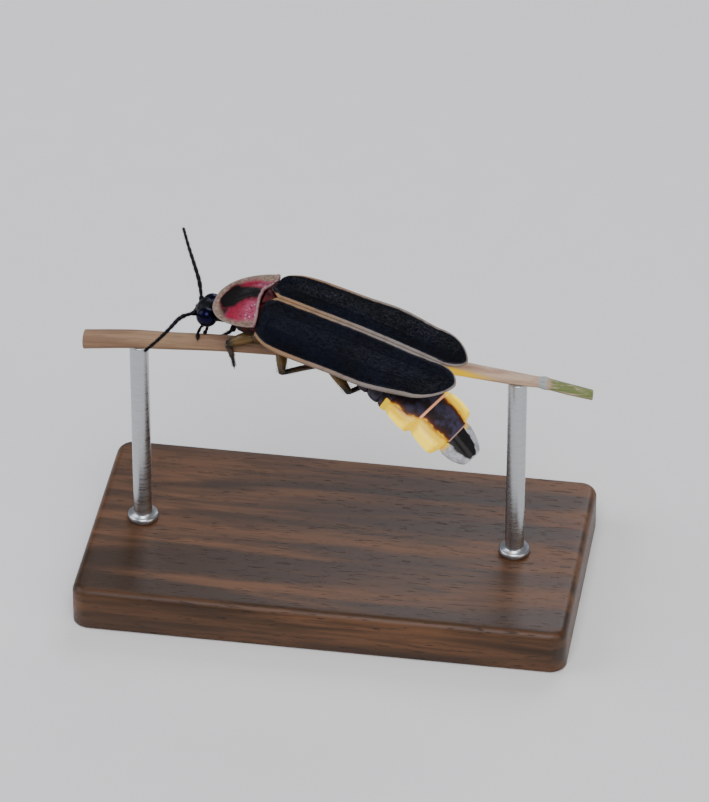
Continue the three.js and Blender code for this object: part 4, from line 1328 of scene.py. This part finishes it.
class FIREFLY_OT_head(bpy.types.Operator):
    """Build the head, its eyes, jaws, palps and neck"""

    bl_idname = "firefly.head"
    bl_label = "Head"

    def execute(self, context):
        palette = colours()
        black = hard_cuticle("black_head_cuticle", palette.body_black, palette.body_sheen, 0.3, 0.36, 0.06)
        feeler = hard_cuticle("black_palp_cuticle", palette.body_black, palette.body_brown, 0.25, 0.42)
        piece("head_capsule", self.capsule(), black, SKULL, ["head"])
        rows, columns = 26, 40
        crown = self.crown(columns, rows)[0].reshape(rows, columns, 3)[rows // 2:]
        setae("head_down", sown(crown, 500, 51), dark_hair(), SKULL, length=0.09,
              thick=0.005, rise=0.4, seed=52)
        piece("jaws", self.jaws(), feeler, SKULL)
        self.eyes(compound_eye(palette))
        self.palps(feeler)
        rear = moved(BODY.inverted() @ SHIELD, [(PROTHORAX["front_x"] + 0.25, 0, -1.02)])[0]
        neck = straight(rear, HEAD["at"], [0.5, 0.52, 0.48, 0.44], 28)
        piece("neck_skin", neck, black, BODY, ["neck"])
        return {"FINISHED"}

    def crown(self, columns=40, rows=26):
        return ball((0.05, 0, 0.05), [HEAD[key] / 2 for key in ("length", "width", "height")], columns, rows)

    def capsule(self):
        """The skull with its brow, muzzle, upper lip and the two cups that the antennae sit in."""
        parts = [
            self.crown(),
            ball((-0.22, 0, 0.2), (0.42, 0.42, 0.4)),
            straight((-0.12, 0, -0.1), (-0.38, 0, -0.7), [0.52, 0.46, 0.34, 0.24], 24),
            ball((-0.46, 0, -0.56), (0.12, 0.2, 0.12)),
        ]
        for side in (-1, 1):
            parts.append(ball((-0.42, side * 0.15, 0.22), (0.2, 0.13, 0.16)))
            parts.append(straight((-0.5, side * 0.16, 0.24), (-0.62, side * 0.17, 0.27), [0.12, 0.13], 16))
        return melted("head_form", parts, 0.02)

    def jaws(self):
        """Two thin curved jaws that cross in front, and the small lower palps."""
        parts = []
        for side in (-1, 1):
            jaw = [(-0.36, side * 0.2, -0.62), (-0.56, side * 0.17, -0.74), (-0.6, -side * 0.04, -0.84)]
            parts.append(tube(rounded(jaw, 10), np.linspace(0.07, 0.018, 10), 10))
            palp = [(-0.24, side * 0.1, -0.72), (-0.28, side * 0.13, -0.9), (-0.36, side * 0.12, -1.0)]
            joints = rounded(palp, 3)
            parts += [straight(a, b, [0.045, 0.055, 0.04], 10) for a, b in zip(joints, joints[1:])]
        return together(parts)

    def eyes(self, glass):
        x, y, z = HEAD["eye_at"]
        r = HEAD["eye_radius"]
        for side, name in SIDES:
            dome = ball((x, side * y, z), (r, r * 0.88, r), 64, 44)
            piece(f"eye_dome_{name}", dome, glass, SKULL, [f"eye_{name}"])

    def palps(self, feeler):
        """The upper palps, three joints each, the last one broad like a small axe."""
        to_body = BODY.inverted() @ SKULL
        for side, name in SIDES:
            x, y, z = PALP["root"]
            path = rounded([moved(to_body, [(x, side * y, z)])[0], *PALP[name]], 4)
            joints = [straight(path[k], path[k + 1], [0.06, 0.075, 0.085, 0.07]) for k in range(2)]
            joints.append(straight(path[2], path[3], [0.07, 0.1, 0.12, 0.09, 0.04]))
            piece(f"mouth_palp_{name}", together(joints), feeler, BODY, [f"palp_{name}"])


class FIREFLY_OT_antennae(bpy.types.Operator):
    """Build the two feelers, eleven joints each, with their short hairs"""

    bl_idname = "firefly.antennae"
    bl_label = "Antennae"

    def execute(self, context):
        palette = colours()
        feeler = hard_cuticle("black_antenna_cuticle", palette.body_black, palette.body_sheen, 0.15, 0.45)
        widest = sizes().antenna_radius / MM
        shares = (1.15, 0.75, *np.linspace(0.95, 0.6, 9))
        for name, points in ANTENNAE.items():
            path = rounded(points, 12)
            joints, limbs = [], []
            for share, a, b in zip(shares, path, path[1:]):
                r = widest * share
                joints.append(straight(a, a + (b - a) * 0.97, [r * 0.7, r * 0.9, r, r, r * 0.86], 16, 0.85))
                limbs.append((a, b, r * 0.8, 60))
            piece(f"feeler_{name}", together(joints), feeler, BODY, [f"antenna_{name}"])
            setae(f"feeler_hair_{name}", wound(limbs), dark_hair(), BODY, length=0.1, thick=0.006,
                  rise=0.6, seed=31)
        return {"FINISHED"}


class FIREFLY_OT_thorax(bpy.types.Operator):
    """Build the chest rings under the shield and the wing cases"""

    bl_idname = "firefly.thorax"
    bl_label = "Thorax"

    def execute(self, context):
        palette = colours()
        brown = hard_cuticle("brown_underside_cuticle", palette.body_black, palette.body_brown, 0.5, 0.48)
        piece("front_chest_ring", self.front_ring(), brown, SHIELD, ["prothorax"])
        piece("rear_chest", self.rear_chest(), brown, BODY, ["thorax"])
        return {"FINISHED"}

    def front_ring(self):
        """The front chest, narrowed towards the neck."""
        p = PROTHORAX
        half, top, bottom = p["half_width"], p["top"], p["bottom"]
        return block_along_x([
            (p["front_x"] - 0.02, half * 0.3, top - 0.5, bottom + 0.65),
            (p["front_x"], half * 0.55, top - 0.35, bottom + 0.4),
            (p["front_x"] + 0.35, half * 0.82, top - 0.1, bottom + 0.12),
            ((p["front_x"] + p["rear_x"]) / 2, half, top, bottom),
            (p["rear_x"] - 0.3, half * 0.98, top, bottom),
            (p["rear_x"], half * 0.85, top - 0.15, bottom + 0.15),
        ])

    def rear_chest(self):
        """The middle and hind chest, with the seams between their plates and the rise in front."""
        t = THORAX
        seams = (0.355, 0.685)
        shares = (0.0, 0.04, 0.1, 0.2, 0.33, seams[0], 0.38, 0.5, 0.66, seams[1], 0.71, 0.82, 0.92, 0.97,
                  1.0)
        stations = []
        for share in shares:
            seam = 0.05 * (bell(share, seams[0], 0.012) + bell(share, seams[1], 0.012))
            front, rear = 1 - smooth_step(0, 0.12, share), smooth_step(0.8, 1, share)
            wide = t["half_width"] * (1 - 0.28 * front - 0.2 * rear - seam)
            rise = t["rise"] * (1 - smooth_step(0.12, 0.65, share))
            top = t["top"] + rise - 0.1 * front - 0.35 * rear - seam
            bottom = t["bottom"] + 0.35 * front + 0.2 * rear + seam
            stations.append((t["front_x"] + (t["rear_x"] - t["front_x"]) * share, wide, top, bottom))
        return block_along_x(stations, 56, 2.6)


class FIREFLY_OT_abdomen(bpy.types.Operator):
    """Build the abdomen: dark rings, two lit rings under their back plates, and the tail plate"""

    bl_idname = "firefly.abdomen"
    bl_label = "Abdomen"

    def execute(self, context):
        palette, glow = colours(), sizes().glow
        frame_there = back_line()
        lit_tissue = lantern_tissue(palette, glow)
        smoky = back_plate_cuticle(palette, glow)
        reached = 0.0
        for i, long in enumerate(ABDOMEN["lengths"]):
            start, end = reached + RING_GAP, reached + long
            reached = end
            if i < ABDOMEN["first_lit"]:
                self.dark_ring(i, start - RING_TUCK, end, frame_there, smoky)
            elif i < ABDOMEN["tip"]:
                rings, sideways, downwards = ring_rows(i, start - RING_TUCK, end, frame_there)
                depth = {"depth": lantern_depth(i, sideways, downwards, long)}
                nodes = [f"lantern_{i + 1}"]
                piece(f"lantern_ring_{i + 1}", skin(rings), lit_tissue, BODY, nodes, depth)
                self.back_plate(i, start - 0.08, end + 0.03, frame_there, smoky)
            else:
                rings, clear, lit = tail_rows(start, start + TAIL["share"] * long, frame_there)
                piece("tail_plate", skin(rings), tail_cuticle(palette, glow), BODY,
                      ["abdomen_tip_8"], {"clear": clear, "lit": lit})
        return {"FINISHED"}

    def dark_ring(self, i, start, end, frame_there, material):
        """An unlit ring. The last of them lets light through at the rear of its flanks."""
        rings, sideways, _ = ring_rows(i, start, end, frame_there)
        edge = np.ones_like(sideways)
        if i == ABDOMEN["first_lit"] - 1:
            shares = np.array(RING_SHARES)[:, None]
            flank = smooth_step(1.05, 1.35, np.abs(sideways)) * smooth_step(0.2, 0.6, shares)
            edge = 1 - 1.15 * flank
        attributes = {"edge": edge, "seam": np.ones_like(edge), "lit": np.zeros_like(edge)}
        piece(f"ring_{i + 1}", skin(rings), material, BODY, [f"abdomen_{i + 1}"], attributes)

    def back_plate(self, i, start, end, frame_there, material):
        """A dark plate that lies close over a lit ring, a little narrower than it."""
        upper, sides, rears, ups = back_plate_rows(i, start, end, frame_there)
        lit = np.full(sides.shape, 1.0 if i == ABDOMEN["first_lit"] else 0.0)
        seam = rears + 0.06 * (1 - lit)
        attributes = {"edge": both_sides(sides), "seam": both_sides(seam), "lit": both_sides(lit)}
        shape = sheet(upper, BACK_PLATE["thick"], ups)
        piece(f"back_plate_{i + 1}", shape, material, BODY, [f"tergite_{i + 1}"], attributes)


class FIREFLY_OT_legs(bpy.types.Operator):
    """Build the six legs with their spurs, foot joints, claws and bristles"""

    bl_idname = "firefly.legs"
    bl_label = "Legs"

    def execute(self, context):
        material = leg_cuticle(colours())
        for name, joints in LEGS.items():
            hip, knee, ankle, end = (np.array(p, float) for p in joints)
            limbs = [*self.upper_leg(hip, knee, ankle), *self.foot(ankle, end)]
            shapes = [shape for shape, *_ in limbs]
            reach = np.concatenate([self.reach(*limb) for limb in limbs])
            piece(f"{name}_joints", together(shapes), material, BODY, [name], {"reach": reach})
            femur = sizes().femur_radius / MM * 0.8
            rooted = wound([(hip, knee, femur, 260), (knee, ankle, 0.12, 240), (ankle, end, 0.08, 170)])
            setae(f"{name}_bristles", rooted, dark_hair(), BODY, length=0.12, thick=0.006, rise=0.5,
                  seed=len(name))
        return {"FINISHED"}

    def reach(self, shape, start, stop, a, b):
        """How far down the leg each point is, between the shares start and stop."""
        t = np.clip(((shape[0] - a) @ (b - a)) / np.dot(b - a, b - a), 0, 1)
        return start + (stop - start) * t

    def upper_leg(self, hip, knee, ankle):
        """Hip, thigh and shin as (shape, first reach, last reach, from, to)."""
        side = math.copysign(1, hip[1])
        widest = sizes().femur_radius / MM
        thigh = [widest * share for share in (0.55, 0.9, 1.0, 0.92, 0.72, 0.55)]
        top, low = hip + (0, -side * 0.1, 0.3), hip + (0, side * 0.12, -0.25)
        return [
            (straight(top, low, [0.26, 0.33, 0.3, 0.22], 18), 0.0, 0.06, top, low),
            (straight(hip, knee, thigh, 20, 0.92, 0.06), 0.06, 0.38, hip, knee),
            (straight(knee, ankle, [0.12, 0.14, 0.15, 0.15, 0.16], 16, 0.9, 0.04), 0.4, 0.68, knee, ankle),
        ]

    def foot(self, ankle, end):
        """Two spurs, five foot joints of which the fourth has two lobes, and two curved claws."""
        foot = end - ankle
        ahead = unit(foot)
        across = unit(np.cross(ahead, (0.2, 0.3, 1)))
        limbs = []
        shares = (0, 0.3, 0.5, 0.66, 0.8, 1)
        for k, (first, last) in enumerate(zip(shares, shares[1:])):
            a, b = ankle + foot * first, ankle + foot * (last - 0.015)
            r = 0.105 - 0.006 * k
            joint = straight(a, b, [r * 0.6, r * 0.85, r], 12, 0.8)
            limbs.append((joint, 0.7 + 0.06 * k, 0.75 + 0.06 * k, a, b))
        for way in (-1, 1):
            a = ankle + foot * 0.69
            lobe = ankle + foot * 0.79 + across * way * 0.09
            limbs.append((straight(a, lobe, [0.05, 0.06, 0.04], 10, 0.6), 0.9, 0.92, a, lobe))
            tip = end + ahead * 0.14 + across * way * 0.12
            claw = rounded([end - ahead * 0.04, end + ahead * 0.1 + across * way * 0.07, tip - UP * 0.03], 8)
            limbs.append((tube(claw, np.linspace(0.035, 0.008, 8), 8), 0.98, 1.0, end, tip))
            spur = ankle + ahead * 0.16 + across * way * 0.08
            limbs.append((straight(ankle, spur, [0.03, 0.02, 0.006], 8), 0.7, 0.7, ankle, spur))
        return limbs


class FIREFLY_OT_perch(bpy.types.Operator):
    """Build the cut length of dry grass stem"""

    bl_idname = "firefly.perch"
    bl_label = "Perch"

    def execute(self, context):
        columns = 56
        around = 2 * math.pi * np.arange(columns) / columns
        heights, radii = [(x, z) for x, z, _ in STEM], [(x, r) for x, _, r in STEM]
        rings, outs = [], []
        for x in np.linspace(STEM[0][0], STEM[-1][0], 320):
            centre = np.array([x, 0, along(heights, x)])
            out = oval((0, 0, 0), RIGHT, UP, 1.0, 1.0, columns)
            ribs = 1 + 0.02 * np.cos(11 * around) + 0.012 * np.cos(5 * around + x * 0.05)
            rings.append(centre + out * (along(radii, x) * ribs)[:, None])
            outs.append(out)
        lit = self.lantern_light(np.array(rings), np.array(outs))
        for k, inwards in ((0, AHEAD), (-1, -AHEAD)):
            centre = np.mean(rings[k], axis=0)
            chamfered = centre + (rings[k] - centre) * 0.9
            rings[k] = rings[k] + inwards * 0.04
            rings.insert(0 if k == 0 else len(rings), chamfered)
        lit = np.concatenate([lit[:1], lit, lit[-1:]])
        straw = dry_straw(colours(), sizes().glow)
        piece("grass_stem", skin(rings), straw, WORLD, ["perch_stem"], {"lit": lit})
        return {"FINISHED"}

    def lantern_light(self, rings, outs):
        """How strongly the lantern's light is painted on each point of the stem, from 0 to 1."""
        frame_there = back_line()
        first = ABDOMEN["first_lit"]
        reached = sum(ABDOMEN["lengths"][:first])
        light = np.zeros(rings.shape[:2])
        for i in (first, first + 1):
            top, _, up = frame_there(reached + ABDOMEN["lengths"][i] / 2)
            lamp = moved(BODY, [top - up * ABDOMEN["heights"][i] / 2])[0]
            reached += ABDOMEN["lengths"][i]
            towards = lamp - rings
            away = np.linalg.norm(towards, axis=-1)
            facing = np.maximum((towards * outs).sum(-1) / away - STEM_LIGHT["facing"], 0)
            light += facing / away ** 2
        return np.clip((light - STEM_LIGHT["least"]) * STEM_LIGHT["gain"], 0, 1)


class FIREFLY_OT_stand(bpy.types.Operator):
    """Finish the stand's wooden base and its two steel rods"""

    bl_idname = "firefly.stand"
    bl_label = "Display Stand"

    def execute(self, context):
        low, high = (np.array(corner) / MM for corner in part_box("stand_base"))
        wood = oiled_walnut(colours())
        piece("walnut_base", self.base(low, high), wood, WORLD, ["stand_base"])
        steel = turned_steel(colours())
        for _, name in SIDES:
            rod = self.rod(*(np.array(corner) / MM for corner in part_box(f"stand_rod_{name}")), high[2])
            piece(f"steel_rod_{name}", rod, steel, WORLD, [f"stand_rod_{name}"])
        return {"FINISHED"}

    def base(self, low, high, edge=0.45, corner=0.9):
        """A slab with rounded upright corners and a rounded upper edge."""
        middle, half = (low + high) / 2, (high - low) / 2
        bend = [(high[2] - edge + edge * math.sin(a), edge * (1 - math.cos(a)))
                for a in np.linspace(0.2, math.pi / 2, 7)]
        rings = []
        for z, inset in [(0.0, 0.12), (0.12, 0.0), (high[2] - edge, 0.0), *bend]:
            r = max(corner - inset, 0.1)
            ring = []
            for turn, (sx, sy) in enumerate([(1, 1), (-1, 1), (-1, -1), (1, -1)]):
                x, y = middle[0] + sx * (half[0] - inset - r), middle[1] + sy * (half[1] - inset - r)
                ring += [(x + r * math.cos(a), y + r * math.sin(a), z)
                         for a in np.linspace(0, math.pi / 2, 8) + turn * math.pi / 2]
            rings.append(ring)
        return skin(rings)

    def rod(self, low, high, floor):
        """A turned rod with a low collar where it enters the base."""
        x, r, top = (low[0] + high[0]) / 2, (high[0] - low[0]) / 2, high[2]
        profile = [(floor - 0.3, r), (floor + 0.01, r), (floor + 0.01, r * 1.6), (floor + 0.04, r * 1.66),
                   (floor + 0.24, r * 1.66), (floor + 0.34, r * 1.5), (floor + 0.36, r * 1.02),
                   (floor + 0.5, r), (top - 0.08, r), (top - 0.03, r * 0.97), (top, r * 0.9)]
        return skin([oval((x, 0, z), AHEAD, RIGHT, wide, wide, 48) for z, wide in profile])


class FIREFLY_OT_studio(bpy.types.Operator):
    """Set up the pale floor, the soft lights and the camera"""

    bl_idname = "firefly.studio"
    bl_label = "Studio"

    def execute(self, context):
        self.floor()
        self.camera(context.scene)
        for name, row in LAMPS.items():
            self.lamp(name, *row)
        air = bpy.data.worlds.new("studio_air")
        air.use_nodes = True
        background = air.node_tree.nodes["Background"]
        background.inputs["Color"].default_value = (*linear(AIR_TINT), 1.0)
        background.inputs["Strength"].default_value = AIR_STRENGTH
        context.scene.world = air
        return {"FINISHED"}

    def floor(self):
        r = FLOOR_REACH
        corners = [(-r, -r, 0), (r, -r, 0), (r, r, 0), (-r, r, 0)]
        mesh = bpy.data.meshes.new("studio_floor")
        mesh.from_pydata(corners, [], [(0, 1, 2, 3)])
        mesh.materials.append(pale_card(colours()))
        made = placed("studio_floor", mesh)

    def camera(self, scene):
        """A long lens at the photograph's angle, so that each pixel covers the same few hundredths of
        a millimetre as in it."""
        az, el = math.radians(VIEW["azimuth"]), math.radians(VIEW["elevation"])
        right = Vector((math.cos(az), math.sin(az), 0))
        back = Vector((math.sin(az) * math.cos(el), -math.cos(az) * math.cos(el), math.sin(el)))
        up = back.cross(right)
        aim = Vector(BODY_AT)
        aim += right * (FRAME_PIXELS[0] / 2 - ORIGIN_PIXEL[0]) * PIXEL
        aim += up * (ORIGIN_PIXEL[1] - FRAME_PIXELS[1] / 2) * PIXEL
        lens = bpy.data.cameras.new("camera")
        lens.sensor_fit = "VERTICAL"
        lens.sensor_height = VIEW["sensor"]
        lens.lens = VIEW["sensor"] * VIEW["distance"] / (FRAME_PIXELS[1] * PIXEL)
        lens.clip_start = 0.005
        lens.clip_end = 20
        made = placed("camera", lens)
        turn = Matrix((right, up, back)).transposed().to_4x4()
        made.matrix_world = Matrix.Translation((aim + back * VIEW["distance"]) * MM) @ turn
        scene.camera = made

    def lamp(self, name, at, size, power, tint):
        """A square soft box that faces the model."""
        lamp = bpy.data.lights.new(name, "AREA")
        lamp.shape = "SQUARE"
        lamp.size = size
        lamp.energy = power
        lamp.color = linear(tint)
        made = placed(name, lamp)
        made.location = at
        made.rotation_euler = (Vector(LAMPS_AIM) - Vector(at)).to_track_quat("-Z", "Y").to_euler()


STEPS = [
    FIREFLY_OT_studio,
    FIREFLY_OT_wing_cases,
    FIREFLY_OT_shield,
    FIREFLY_OT_middle_back,
    FIREFLY_OT_head,
    FIREFLY_OT_antennae,
    FIREFLY_OT_thorax,
    FIREFLY_OT_abdomen,
    FIREFLY_OT_legs,
    FIREFLY_OT_perch,
    FIREFLY_OT_stand,
]


class FIREFLY_PT_build(bpy.types.Panel):
    """Buttons for each piece, with the sizes and colours that shape it"""

    bl_label = "Firefly Specimen"
    bl_idname = "FIREFLY_PT_build"
    bl_space_type = "VIEW_3D"
    bl_region_type = "UI"
    bl_category = "Firefly"

    def draw(self, context):
        layout = self.layout
        for step in STEPS:
            layout.operator(step.bl_idname)
        for group in (sizes(), colours()):
            for key in type(group).__annotations__:
                layout.prop(group, key)


CLASSES = [FireflySizes, FireflyColours, *STEPS, FIREFLY_PT_build]


def register():
    for cls in CLASSES:
        bpy.utils.register_class(cls)
    bpy.types.Scene.firefly_sizes = bpy.props.PointerProperty(type=FireflySizes)
    bpy.types.Scene.firefly_colours = bpy.props.PointerProperty(type=FireflyColours)


def unregister():
    del bpy.types.Scene.firefly_colours
    del bpy.types.Scene.firefly_sizes
    for cls in reversed(CLASSES):
        bpy.utils.unregister_class(cls)


def main():
    register()
    for step in STEPS:
        group, name = step.bl_idname.split(".")
        getattr(getattr(bpy.ops, group), name)()


if __name__ == "__main__":
    main()
